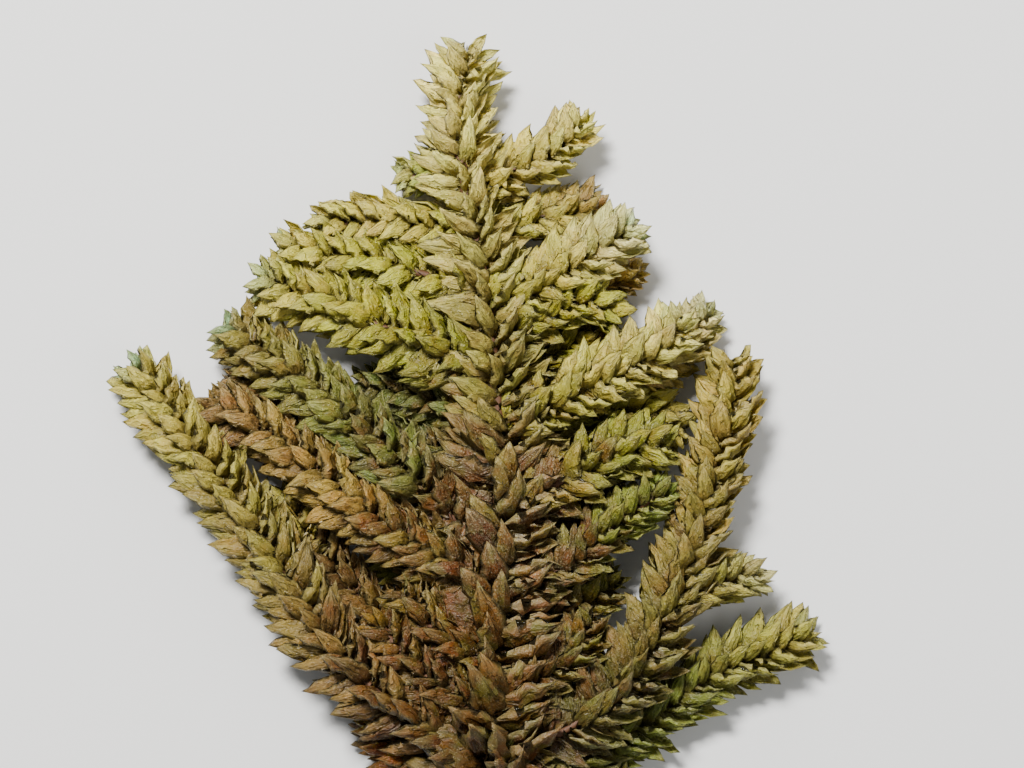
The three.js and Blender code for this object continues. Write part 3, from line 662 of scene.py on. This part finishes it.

    # Pale specks on every leaf are partly dust and partly painted glints, and a whitish crust has dried in
    # grains on those of the upper heart.
    dust_and_glints = add_node(tree, "ShaderNodeMapRange", {
        "Value": specks, "From Min": 0.6, "From Max": 0.68, "To Min": 0.0, "To Max": 0.36}).outputs[0]
    crust_share = add_node(tree, "ShaderNodeMapRange", {
        "Value": crust_distance, "From Min": 0.3, "From Max": 1.0, "To Min": 0.32, "To Max": 0.0}).outputs[0]
    crust_grains = add_node(tree, "ShaderNodeMapRange", {
        "Value": specks, "From Min": 0.5, "From Max": 0.62, "To Min": 0.0, "To Max": 1.0}).outputs[0]
    crust = add_node(tree, "ShaderNodeMath", {
        0: crust_share, 1: crust_grains}, operation="MULTIPLY").outputs[0]
    for share, changed in ((dust_and_glints, DUST_AND_GLINTS), (crust, CRUST)):
        colour = add_node(tree, "ShaderNodeMix", {
            0: share, 6: colour, 7: linear_colour(changed)}, data_type="RGBA").outputs[2]

    # Leaves are darker towards the bottom of the frond.
    darker_lower = add_node(tree, "ShaderNodeMapRange", {
        "Value": on_frond["Y"], "From Min": DARKEST_BELOW * MM, "From Max": BRIGHTEST_ABOVE * MM,
        "To Min": 0.42, "To Max": 1.04}).outputs[0]
    colour = add_node(tree, "ShaderNodeVectorMath", {0: colour, 3: darker_lower}, operation="SCALE").outputs[0]

    # The dry sheet has a satin gloss, a little stronger on its specks, and lets a little light through.
    bump = add_node(tree, "ShaderNodeBump", {
        "Height": relief, "Strength": 1.0, "Distance": FINE_FOLD_DEPTH * MM}).outputs[0]
    roughness = add_node(tree, "ShaderNodeMapRange", {
        "Value": specks, "From Min": 0.4, "From Max": 0.62, "To Min": 0.5, "To Max": 0.32}).outputs[0]
    surface = add_node(tree, "ShaderNodeBsdfPrincipled", {
        "Base Color": colour, "Roughness": roughness, "Normal": bump,
        "IOR": 1.45, "Specular IOR Level": 0.44,
        "Subsurface Weight": 0.12, "Subsurface Radius": (0.5, 0.4, 0.15),
        "Subsurface Scale": LIGHT_SPREAD * MM,
    })
    add_node(tree, "ShaderNodeOutputMaterial", {"Surface": surface.outputs["BSDF"]})
    return material


def dried_stem_material():
    """Wiry moss stem: a cord that dried dark red-brown, with a dull, finely ridged skin."""
    name = "dry moss stem, ridged"
    if name in bpy.data.materials:
        return bpy.data.materials[name]
    material = bpy.data.materials.new(name)
    material.use_nodes = True
    tree = material.node_tree
    tree.nodes.clear()
    place = add_node(tree, "ShaderNodeTexCoord").outputs["Object"]
    # Ridges run along the stem, 0.08 mm apart and ten times as long.
    ridge_scale = (1 / (RIDGE_SPACING * MM), 1 / (RIDGE_LENGTH * MM), 1 / (RIDGE_SPACING * MM))
    ridge_map = add_node(tree, "ShaderNodeMapping", {"Vector": place, "Scale": ridge_scale}).outputs[0]
    ridges = add_node(tree, "ShaderNodeTexNoise", {
        "Vector": ridge_map, "Scale": 1.0, "Detail": 3.0, "Roughness": 0.6}).outputs["Fac"]
    colour = add_node(tree, "ShaderNodeMix", {
        0: ridges, 6: linear_colour(STEM_DARK), 7: linear_colour(STEM_LIGHT)}, data_type="RGBA").outputs[2]
    bump = add_node(tree, "ShaderNodeBump", {
        "Height": ridges, "Strength": 0.8, "Distance": RIDGE_DEPTH * MM}).outputs[0]
    surface = add_node(tree, "ShaderNodeBsdfPrincipled", {
        "Base Color": colour, "Roughness": 0.6, "Normal": bump, "IOR": 1.45})
    add_node(tree, "ShaderNodeOutputMaterial", {"Surface": surface.outputs["BSDF"]})
    return material


def plain_paper_material():
    """Uncoated paper: matt and even, so that nothing shows in it but the frond's soft shadow."""
    paper = bpy.data.materials.new("plain paper surface")
    paper.use_nodes = True
    shader = paper.node_tree.nodes["Principled BSDF"]
    shader.inputs["Base Color"].default_value = (*settings().floor_colour, 1.0)
    shader.inputs["Roughness"].default_value = PAPER_ROUGHNESS
    return paper


def leaf_draw(tree, given, draw, low, high):
    """A value between low and high that is drawn for each leaf."""
    seed = add_node(tree, "ShaderNodeMath", {
        0: given["Seed"], 1: LEAF_DRAWS[draw]}, operation="ADD").outputs[0]
    return add_node(tree, "FunctionNodeRandomValue", {2: low, 3: high, 8: seed}, data_type="FLOAT").outputs[1]


def strayed_angle(tree, given, draw, reach):
    """An angle by which each leaf strays: up to the reach, times the shoot's disorder."""
    drawn = leaf_draw(tree, given, draw, -reach, reach)
    return add_node(tree, "ShaderNodeMath", {0: drawn, 1: given["Disorder"]}, operation="MULTIPLY").outputs[0]


def leaf_directions(tree, given, factor):
    """Ahead along the shoot, out to where a leaf points and to where its back faces, at each leaf.

    Also how far to the side and how far to the front each leaf stands, from -1 to 1."""
    index = add_node(tree, "GeometryNodeInputIndex").outputs[0]
    turn = add_node(tree, "ShaderNodeMath", {
        0: index, 1: LEAF_TURN, 2: FIRST_TURN}, operation="MULTIPLY_ADD").outputs[0]
    strayed = strayed_angle(tree, given, "turn", TURN_STRAY)
    turn = add_node(tree, "ShaderNodeMath", {0: turn, 1: strayed}, operation="ADD").outputs[0]
    sideways = add_node(tree, "ShaderNodeMath", {0: turn}, operation="COSINE").outputs[0]
    upwards = add_node(tree, "ShaderNodeMath", {0: turn}, operation="SINE").outputs[0]
    ahead = add_node(tree, "GeometryNodeInputTangent").outputs[0]
    side = add_node(tree, "ShaderNodeVectorMath", {
        0: ahead, 1: (0, 0, 1)}, operation="CROSS_PRODUCT").outputs[0]
    side = add_node(tree, "ShaderNodeVectorMath", {0: side}, operation="NORMALIZE").outputs[0]
    up = add_node(tree, "ShaderNodeVectorMath", {0: side, 1: ahead}, operation="CROSS_PRODUCT").outputs[0]

    # The shoot is flattened: its leaves point to its two sides, but turn their backs to its front or back.
    flatness = add_node(tree, "ShaderNodeMapRange", {
        "Value": factor, "From Min": 0.55, "From Max": 0.9,
        "To Min": given["Flatness"], "To Max": given["Tip flatness"]}).outputs[0]
    flattened = add_node(tree, "ShaderNodeMath", {0: upwards, 1: flatness}, operation="MULTIPLY").outputs[0]
    faced = add_node(tree, "ShaderNodeMath", {
        0: sideways, 1: given["Facing"]}, operation="MULTIPLY").outputs[0]
    directions = []
    for side_share, up_share in ((sideways, flattened), (faced, upwards)):
        to_side = add_node(tree, "ShaderNodeVectorMath", {
            0: side, 3: side_share}, operation="SCALE").outputs[0]
        to_front = add_node(tree, "ShaderNodeVectorMath", {0: up, 3: up_share}, operation="SCALE").outputs[0]
        directions.append(add_node(tree, "ShaderNodeVectorMath", {
            0: to_side, 1: to_front}, operation="ADD").outputs[0])
    out, leaf_back = directions
    out = add_node(tree, "ShaderNodeVectorMath", {0: out}, operation="NORMALIZE").outputs[0]
    return ahead, out, leaf_back, sideways, upwards


def leaf_spread(tree, given, factor, grown, past_foot, sideways):
    """The angle by which each leaf spreads from the stem: the side rows furthest, those of the bud least."""
    bud_share = add_node(tree, "ShaderNodeMath", {
        0: grown, 1: 1 - BUD_SPREAD, 2: BUD_SPREAD}, operation="MULTIPLY_ADD").outputs[0]
    to_side = add_node(tree, "ShaderNodeMath", {0: sideways}, operation="ABSOLUTE").outputs[0]
    row_share = add_node(tree, "ShaderNodeMath", {
        0: to_side, 1: SIDE_SPREAD_GAIN, 2: FRONT_SPREAD}, operation="MULTIPLY_ADD").outputs[0]
    tip_share = add_node(tree, "ShaderNodeMapRange", {
        "Value": factor, "From Min": 0.2, "To Min": 1.0, "To Max": given["Tip spread share"]}).outputs[0]
    spread = given["Spread"]
    for share in (bud_share, row_share, tip_share, past_foot):
        spread = add_node(tree, "ShaderNodeMath", {0: spread, 1: share}, operation="MULTIPLY").outputs[0]
    strayed = strayed_angle(tree, given, "spread", SPREAD_STRAY)
    return add_node(tree, "ShaderNodeMath", {0: spread, 1: strayed}, operation="ADD").outputs[0]


def leaf_rotation(tree, given, spread, ahead, out, leaf_back):
    """How each leaf is turned: its length along its direction, its back outwards, and rolled a little."""
    forward = add_node(tree, "ShaderNodeMath", {0: spread}, operation="COSINE").outputs[0]
    outward = add_node(tree, "ShaderNodeMath", {0: spread}, operation="SINE").outputs[0]
    forward = add_node(tree, "ShaderNodeVectorMath", {0: ahead, 3: forward}, operation="SCALE").outputs[0]
    outward = add_node(tree, "ShaderNodeVectorMath", {0: out, 3: outward}, operation="SCALE").outputs[0]
    leaf_axis = add_node(tree, "ShaderNodeVectorMath", {0: forward, 1: outward}, operation="ADD").outputs[0]
    rotation = add_node(tree, "FunctionNodeAxesToRotation", {
        "Primary Axis": leaf_axis, "Secondary Axis": leaf_back}, primary_axis="Z", secondary_axis="X")
    roll = add_node(tree, "FunctionNodeAxisAngleToRotation", {
        "Axis": (0, 0, 1), "Angle": strayed_angle(tree, given, "roll", ROLL_STRAY)})
    return add_node(tree, "FunctionNodeRotateRotation", {
        "Rotation": rotation.outputs[0], "Rotate By": roll.outputs[0]}, rotation_space="LOCAL").outputs[0]


def leaf_scale(tree, given, factor, grown, past_foot):
    """How large each leaf is, as the scale of a leaf shape of length and width 1."""
    size = add_node(tree, "ShaderNodeMath", {
        0: grown, 1: 1 - BUD_LEAF_SIZE, 2: BUD_LEAF_SIZE}, operation="MULTIPLY_ADD").outputs[0]
    drawn_size = leaf_draw(tree, given, "size", *SIZE_RANGE)
    place_share = add_node(tree, "ShaderNodeMapRange", {
        "Value": factor, "To Min": given["Base leaf share"], "To Max": given["Tip leaf share"]}).outputs[0]
    for share in (drawn_size, past_foot, place_share):
        size = add_node(tree, "ShaderNodeMath", {0: size, 1: share}, operation="MULTIPLY").outputs[0]

    # Old leaves, low on the frond, are longer on a branch, where their sides have rolled in, and broader on
    # the main stem.
    place = add_node(tree, "GeometryNodeInputPosition").outputs[0]
    height_up = add_node(tree, "ShaderNodeSeparateXYZ", {"Vector": place}).outputs["Y"]
    age = add_node(tree, "ShaderNodeMapRange", {
        "Value": height_up, "From Min": OLD_BELOW * MM, "From Max": YOUNG_ABOVE * MM,
        "To Min": 1.0, "To Max": 0.0}).outputs[0]
    drawn_width = leaf_draw(tree, given, "width", *WIDTH_RANGE)
    measures = {}
    for measure, drawn_shares in (("length", ()), ("width", (drawn_width,))):
        change = add_node(tree, "ShaderNodeMath", {
            0: given[f"Old leaf {measure}"], 1: 1.0}, operation="SUBTRACT").outputs[0]
        old_share = add_node(tree, "ShaderNodeMath", {
            0: age, 1: change, 2: 1.0}, operation="MULTIPLY_ADD").outputs[0]
        value = given[f"Leaf {measure}"]
        for share in (size, *drawn_shares, old_share):
            value = add_node(tree, "ShaderNodeMath", {0: value, 1: share}, operation="MULTIPLY").outputs[0]
        measures[measure] = value
    return add_node(tree, "ShaderNodeCombineXYZ", {
        "X": measures["width"], "Y": measures["width"], "Z": measures["length"]}).outputs[0]


def leaf_points(tree, given, points, out, factor, from_tip):
    """The points where leaves are rooted, lifted out of the stem's middle, with what the material reads."""
    lift = add_node(tree, "ShaderNodeMath", {
        0: given["Stem radius"], 1: ROOT_PLACE}, operation="MULTIPLY").outputs[0]
    offset = add_node(tree, "ShaderNodeVectorMath", {0: out, 3: lift}, operation="SCALE").outputs[0]
    rooted = add_node(tree, "GeometryNodeSetPosition", {"Geometry": points, "Offset": offset}).outputs[0]

    # The colour runs from base to middle to tip. Only the last leaves may be young and mint-green.
    first_half = add_node(tree, "ShaderNodeMapRange", {"Value": factor, "From Max": 0.5}).outputs[0]
    second_half = add_node(tree, "ShaderNodeMapRange", {
        "Value": factor, "From Min": 0.5, "From Max": 0.97}).outputs[0]
    colour = add_node(tree, "ShaderNodeMix", {
        0: first_half, 6: given["Base colour"], 7: given["Middle colour"]}, data_type="RGBA").outputs[2]
    colour = add_node(tree, "ShaderNodeMix", {
        0: second_half, 6: colour, 7: given["Tip colour"]}, data_type="RGBA").outputs[2]
    young = add_node(tree, "ShaderNodeMapRange", {
        "Value": from_tip, "From Min": MINT_TIP * MM, "From Max": MINT_END * MM,
        "To Min": given["Young tips"], "To Max": 0.0}).outputs[0]
    young = add_node(tree, "ShaderNodeMath", {
        0: young, 1: leaf_draw(tree, given, "mint", *MINT_RANGE)}, operation="MULTIPLY").outputs[0]
    kept = (
        ("leaf_colour", "FLOAT_COLOR", colour),
        ("leaf_draw", "FLOAT", leaf_draw(tree, given, "colour", 0.0, 1.0)),
        ("leaf_young", "FLOAT", young),
    )
    for attribute, kind, value in kept:
        rooted = add_node(tree, "GeometryNodeStoreNamedAttribute", {
            "Geometry": rooted, "Name": attribute, "Value": value}, data_type=kind, domain="POINT").outputs[0]
    return rooted


def leaves_on_points(tree, given, points, rotation, scale, parameter, sideways, upwards):
    """A leaf on each point past the leafless foot, apart from those that have fallen."""
    shapes = add_node(tree, "GeometryNodeCollectionInfo", {
        "Collection": given["Leaf shapes"], "Separate Children": True, "Reset Children": True}).outputs[0]
    leafy = add_node(tree, "ShaderNodeMath", {
        0: parameter["Length"], 1: given["Leafless foot"]}, operation="GREATER_THAN").outputs[0]
    # Near a shoot's base some leaves have fallen.
    fallen = add_node(tree, "ShaderNodeMapRange", {
        "Value": parameter["Factor"], "From Max": 0.5, "To Min": FALLEN_SHARE, "To Max": 0.0}).outputs[0]
    still_there = add_node(tree, "ShaderNodeMath", {
        0: leaf_draw(tree, given, "fallen", 0.0, 1.0), 1: fallen}, operation="GREATER_THAN").outputs[0]
    leafy = add_node(tree, "ShaderNodeMath", {0: leafy, 1: still_there}, operation="MULTIPLY").outputs[0]
    # A leaf bends forward, towards the shoot's tip. Which of the shapes do so depends on its row.
    shape_seed = add_node(tree, "ShaderNodeMath", {
        0: given["Seed"], 1: LEAF_DRAWS["shape"]}, operation="ADD").outputs[0]
    pick = add_node(tree, "FunctionNodeRandomValue", {
        4: 0, 5: BLADE_SHAPES // 2 - 1, 8: shape_seed}, data_type="INT").outputs[2]
    quarter = add_node(tree, "ShaderNodeMath", {0: sideways, 1: upwards}, operation="MULTIPLY").outputs[0]
    bends_back = add_node(tree, "ShaderNodeMath", {0: quarter, 1: 0.0}, operation="GREATER_THAN").outputs[0]
    pick = add_node(tree, "ShaderNodeMath", {
        0: pick, 1: 2.0, 2: bends_back}, operation="MULTIPLY_ADD").outputs[0]
    leaves = add_node(tree, "GeometryNodeInstanceOnPoints", {
        "Points": points, "Selection": leafy, "Instance": shapes, "Pick Instance": True,
        "Instance Index": pick, "Rotation": rotation, "Scale": scale}).outputs[0]
    leaves = add_node(tree, "GeometryNodeRealizeInstances", {"Geometry": leaves}).outputs[0]
    return add_node(tree, "GeometryNodeSetMaterial", {
        "Geometry": leaves, "Material": given["Leaf finish"]}).outputs[0]


def wiry_stem(tree, given, route, factor):
    """The thin stem inside a shoot, which gets thinner towards the tip."""
    thinning = add_node(tree, "ShaderNodeMapRange", {
        "Value": factor, "From Max": STEM_THIN_AT, "To Min": 1.0, "To Max": STEM_TIP_SHARE}).outputs[0]
    stem_route = add_node(tree, "GeometryNodeTrimCurve", {
        "Curve": route, "End": STEM_END}, mode="FACTOR").outputs[0]
    stem_route = add_node(tree, "GeometryNodeResampleCurve", {
        "Curve": stem_route, "Length": STEM_STEP * MM}, mode="LENGTH").outputs[0]
    stem_route = add_node(tree, "GeometryNodeSetCurveRadius", {
        "Curve": stem_route, "Radius": thinning}).outputs[0]
    section = add_node(tree, "GeometryNodeCurvePrimitiveCircle", {
        "Resolution": STEM_SIDES, "Radius": given["Stem radius"]}, mode="RADIUS").outputs[0]
    stem = add_node(tree, "GeometryNodeCurveToMesh", {
        "Curve": stem_route, "Profile Curve": section, "Fill Caps": True}).outputs[0]
    stem = add_node(tree, "GeometryNodeSetShadeSmooth", {"Geometry": stem}).outputs[0]
    return add_node(tree, "GeometryNodeSetMaterial", {
        "Geometry": stem, "Material": given["Stem finish"]}).outputs[0]


def leafy_shoot_tree():
    """Geometry nodes that clothe a shoot's route in a spiral of leaves round a thin stem."""
    name = "leafy shoot"
    if name in bpy.data.node_groups:
        return bpy.data.node_groups[name]
    tree = bpy.data.node_groups.new(name, "GeometryNodeTree")
    for socket, kind in SHOOT_INPUTS:
        tree.interface.new_socket(socket, in_out="INPUT", socket_type=f"NodeSocket{kind}")
    tree.interface.new_socket("Shoot", in_out="OUTPUT", socket_type="NodeSocketGeometry")
    given = add_node(tree, "NodeGroupInput").outputs

    # The route stops short of the shoot's end by as much as the last leaves reach past it.
    route_length = add_node(tree, "GeometryNodeCurveLength", {"Curve": given["Route"]}).outputs[0]
    shortened = add_node(tree, "ShaderNodeMath", {
        0: route_length, 1: given["Tip reach"]}, operation="SUBTRACT").outputs[0]
    route_end = add_node(tree, "ShaderNodeMath", {
        0: shortened, 1: route_length}, operation="DIVIDE").outputs[0]
    route = add_node(tree, "GeometryNodeTrimCurve", {
        "Curve": given["Route"], "End": route_end}, mode="FACTOR").outputs[0]
    points = add_node(tree, "GeometryNodeResampleCurve", {
        "Curve": route, "Length": given["Leaf spacing"]}, mode="LENGTH").outputs[0]
    parameter = add_node(tree, "GeometryNodeSplineParameter").outputs
    factor = parameter["Factor"]
    whole_length = add_node(tree, "GeometryNodeSplineLength").outputs["Length"]
    from_tip = add_node(tree, "ShaderNodeMath", {
        0: whole_length, 1: parameter["Length"]}, operation="SUBTRACT").outputs[0]
    grown = add_node(tree, "ShaderNodeMapRange", {
        "Value": from_tip, "From Min": 0.0, "From Max": given["Bud length"]}).outputs[0]
    # The lowest leaves are small and hold closer to the stem, so that its bare foot shows.
    full_leaves = add_node(tree, "ShaderNodeMath", {
        0: given["Leafless foot"], 1: FULL_LEAVES_AT}, operation="MULTIPLY").outputs[0]
    past_foot = add_node(tree, "ShaderNodeMapRange", {
        "Value": parameter["Length"], "From Min": given["Leafless foot"], "From Max": full_leaves,
        "To Min": LOWEST_LEAF_SIZE, "To Max": 1.0}).outputs[0]

    ahead, out, leaf_back, sideways, upwards = leaf_directions(tree, given, factor)
    spread = leaf_spread(tree, given, factor, grown, past_foot, sideways)
    rotation = leaf_rotation(tree, given, spread, ahead, out, leaf_back)
    scale = leaf_scale(tree, given, factor, grown, past_foot)
    rooted = leaf_points(tree, given, points, out, factor, from_tip)
    leaves = leaves_on_points(tree, given, rooted, rotation, scale, parameter, sideways, upwards)
    joined = add_node(tree, "GeometryNodeJoinGeometry")
    tree.links.new(wiry_stem(tree, given, route, factor), joined.inputs[0])
    tree.links.new(leaves, joined.inputs[0])
    add_node(tree, "NodeGroupOutput", {0: joined.outputs[0]})
    return tree


def press_on_surface(mesh):
    """Leaves that would reach below the surface are bent along it, as they are under the frond's weight."""
    most_pressed = PRESS_HEIGHT - LEAST_HEIGHT
    for vertex in mesh.vertices:
        height = vertex.co.z
        if height < PRESS_HEIGHT:
            vertex.co.z = LEAST_HEIGHT + most_pressed * math.exp((height - PRESS_HEIGHT) / PRESS_HEIGHT)


def smooth_route(route):
    """A soft curve through a route's points, as a curve object in metres."""
    curve = bpy.data.curves.new("route", "CURVE")
    curve.dimensions = "3D"
    curve.resolution_u = ROUTE_STEPS
    spline = curve.splines.new("BEZIER")
    spline.bezier_points.add(len(route) - 1)
    for bezier_point, place in zip(spline.bezier_points, route):
        bezier_point.co = Vector(place) * MM
        bezier_point.handle_left_type = "AUTO"
        bezier_point.handle_right_type = "AUTO"
    return bpy.data.objects.new("route", curve)


def leaf_sizes(leafy_width, on_main_stem):
    """Length, width and spread of a shoot's full-grown leaves, and the spacing between them."""
    wanted = settings()
    if on_main_stem:
        length = wanted.stem_leaf_length
        return length, length * wanted.stem_leaf_slimness, MAIN_STEM_SPREAD, wanted.stem_leaf_spacing
    size_share = max(SLIM_BRANCH_LEAF, LEAF_SHARE_BASE + LEAF_SHARE_PER_MM * leafy_width)
    length = wanted.leaf_length * min(BROAD_BRANCH_LEAF, size_share)
    reach = leafy_width / 2 * MM / length + SPREAD_ALLOWANCE
    spread = math.asin(min(WIDEST_SPREAD_SINE, reach))
    return length, length * wanted.leaf_slimness, spread, wanted.leaf_spacing


def make_leafy_shoot(shoot, number, on_main_stem=False):
    """Makes one leafy shoot as a plain mesh, in the place of its node."""
    node, leafy_width, colours, young_tips, route = shoot
    if node not in frame["nodes"]:
        raise RuntimeError(f"the frame has no node named {node}")
    wanted = settings()
    length, width, spread, spacing = leaf_sizes(leafy_width, on_main_stem)
    values = {
        **(MAIN_STEM_HABIT if on_main_stem else BRANCH_HABIT),
        "Leaf shapes": leaf_blades(),
        "Leaf spacing": spacing,
        "Leaf length": length,
        "Leaf width": width,
        "Spread": spread,
        "Stem radius": (wanted.foot_thickness if on_main_stem else wanted.stem_thickness) / 2,
        "Base colour": linear_colour(colours[0]),
        "Middle colour": linear_colour(colours[1]),
        "Tip colour": linear_colour(colours[2]),
        "Young tips": float(young_tips),
        "Seed": wanted.seed + SEED_STEP * number,
        "Leaf finish": dried_leaf_material(),
        "Stem finish": dried_stem_material(),
    }
    grower = smooth_route(route)
    bpy.context.scene.collection.objects.link(grower)
    modifier = grower.modifiers.new("leafy shoot", "NODES")
    modifier.node_group = leafy_shoot_tree()
    for socket in modifier.node_group.interface.items_tree:
        if socket.in_out == "INPUT" and socket.name in values:
            modifier[socket.identifier] = values[socket.name]
    evaluated = grower.evaluated_get(bpy.context.evaluated_depsgraph_get())
    mesh = bpy.data.meshes.new_from_object(evaluated)
    bpy.data.objects.remove(grower)
    mesh.name = f"leafy_{node}"
    press_on_surface(mesh)
    piece = bpy.data.objects.new(f"leafy_{node}", mesh)
    bpy.context.scene.collection.objects.link(piece)
    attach(piece, "root")
    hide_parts(node)


class MOSS_OT_main_stem(bpy.types.Operator):
    """Make the leafy main stem, with its bare foot"""

    bl_idname = "moss.main_stem"
    bl_label = "Main stem"

    def execute(self, context):
        make_leafy_shoot(MAIN_STEM[0], 0, on_main_stem=True)
        return {"FINISHED"}


class MOSS_OT_left_branches(bpy.types.Operator):
    """Make the leafy branches on the frond's left side"""

    bl_idname = "moss.left_branches"
    bl_label = "Left branches"

    def execute(self, context):
        for number, shoot in enumerate(LEFT_BRANCHES):
            make_leafy_shoot(shoot, FIRST_LEFT_BRANCH + number)
        return {"FINISHED"}


class MOSS_OT_right_branches(bpy.types.Operator):
    """Make the leafy branches on the frond's right side"""

    bl_idname = "moss.right_branches"
    bl_label = "Right branches"

    def execute(self, context):
        for number, shoot in enumerate(RIGHT_BRANCHES):
            make_leafy_shoot(shoot, FIRST_RIGHT_BRANCH + number)
        return {"FINISHED"}


class MOSS_OT_branchlets(bpy.types.Operator):
    """Make the branchlets, which stand on a branch"""

    bl_idname = "moss.branchlets"
    bl_label = "Branchlets"

    def execute(self, context):
        for number, shoot in enumerate(BRANCHLETS):
            make_leafy_shoot(shoot, FIRST_BRANCHLET + number)
        clear_leaf_blades()
        return {"FINISHED"}


class MOSS_OT_stage(bpy.types.Operator):
    """Make the pale floor, the soft lights and the camera that looks down on the frond"""

    bl_idname = "moss.stage"
    bl_label = "Stage"

    def execute(self, context):
        scene = context.scene
        floor_mesh = bpy.data.meshes.new("floor")
        half = FLOOR_SIZE / 2 * MM
        corners = [(-half, -half, 0), (half, -half, 0), (half, half, 0), (-half, half, 0)]
        floor_mesh.from_pydata(corners, [], [(0, 1, 2, 3)])
        floor_mesh.materials.append(plain_paper_material())
        floor = bpy.data.objects.new("floor", floor_mesh)
        scene.collection.objects.link(floor)

        target = Vector((*VIEW_CENTRE, LIT_HEIGHT)) * MM
        for name, place, size, power in LIGHTS:
            lamp = bpy.data.lights.new(name, "AREA")
            lamp.size = size * MM
            lamp.energy = power
            light = bpy.data.objects.new(name, lamp)
            light.location = Vector(place) * MM
            light.rotation_euler = (target - light.location).to_track_quat("-Z", "Y").to_euler()
            scene.collection.objects.link(light)

        world = bpy.data.worlds.new("soft room light")
        world.use_nodes = True
        world.node_tree.nodes["Background"].inputs["Color"].default_value = ROOM_COLOUR
        world.node_tree.nodes["Background"].inputs["Strength"].default_value = ROOM_STRENGTH
        scene.world = world

        camera_data = bpy.data.cameras.new("camera")
        camera_data.sensor_width = SENSOR_WIDTH
        camera_data.lens = SENSOR_WIDTH * VIEW_DISTANCE / VIEW_WIDTH
        camera_data.clip_start = CLIP_START * MM
        camera = bpy.data.objects.new("camera", camera_data)
        camera.location = (VIEW_CENTRE[0] * MM, VIEW_CENTRE[1] * MM, VIEW_DISTANCE * MM)
        scene.collection.objects.link(camera)
        scene.camera = camera
        return {"FINISHED"}


class MOSS_PT_frond(bpy.types.Panel):
    """Lists the frond's settings and the steps that make it"""

    bl_idname = "MOSS_PT_frond"
    bl_label = "Moss frond"
    bl_space_type = "VIEW_3D"
    bl_region_type = "UI"
    bl_category = "Moss frond"

    def draw(self, context):
        for name in FrondSettings.__annotations__:
            self.layout.prop(settings(), name)
        for operator in OPERATORS:
            self.layout.operator(operator.bl_idname)


OPERATORS = (
    MOSS_OT_main_stem, MOSS_OT_left_branches, MOSS_OT_right_branches, MOSS_OT_branchlets, MOSS_OT_stage,
)
CLASSES = (FrondSettings, *OPERATORS, MOSS_PT_frond)


def register():
    """Registers the settings, the operators and the panel."""
    for one_class in CLASSES:
        bpy.utils.register_class(one_class)
    bpy.types.Scene.moss_frond = PointerProperty(type=FrondSettings)


def unregister():
    """Takes away what register added."""
    del bpy.types.Scene.moss_frond
    for one_class in reversed(CLASSES):
        bpy.utils.unregister_class(one_class)


def main():
    register()
    bpy.ops.moss.main_stem()
    bpy.ops.moss.left_branches()
    bpy.ops.moss.right_branches()
    bpy.ops.moss.branchlets()
    bpy.ops.moss.stage()


if __name__ == "__main__":
    main()
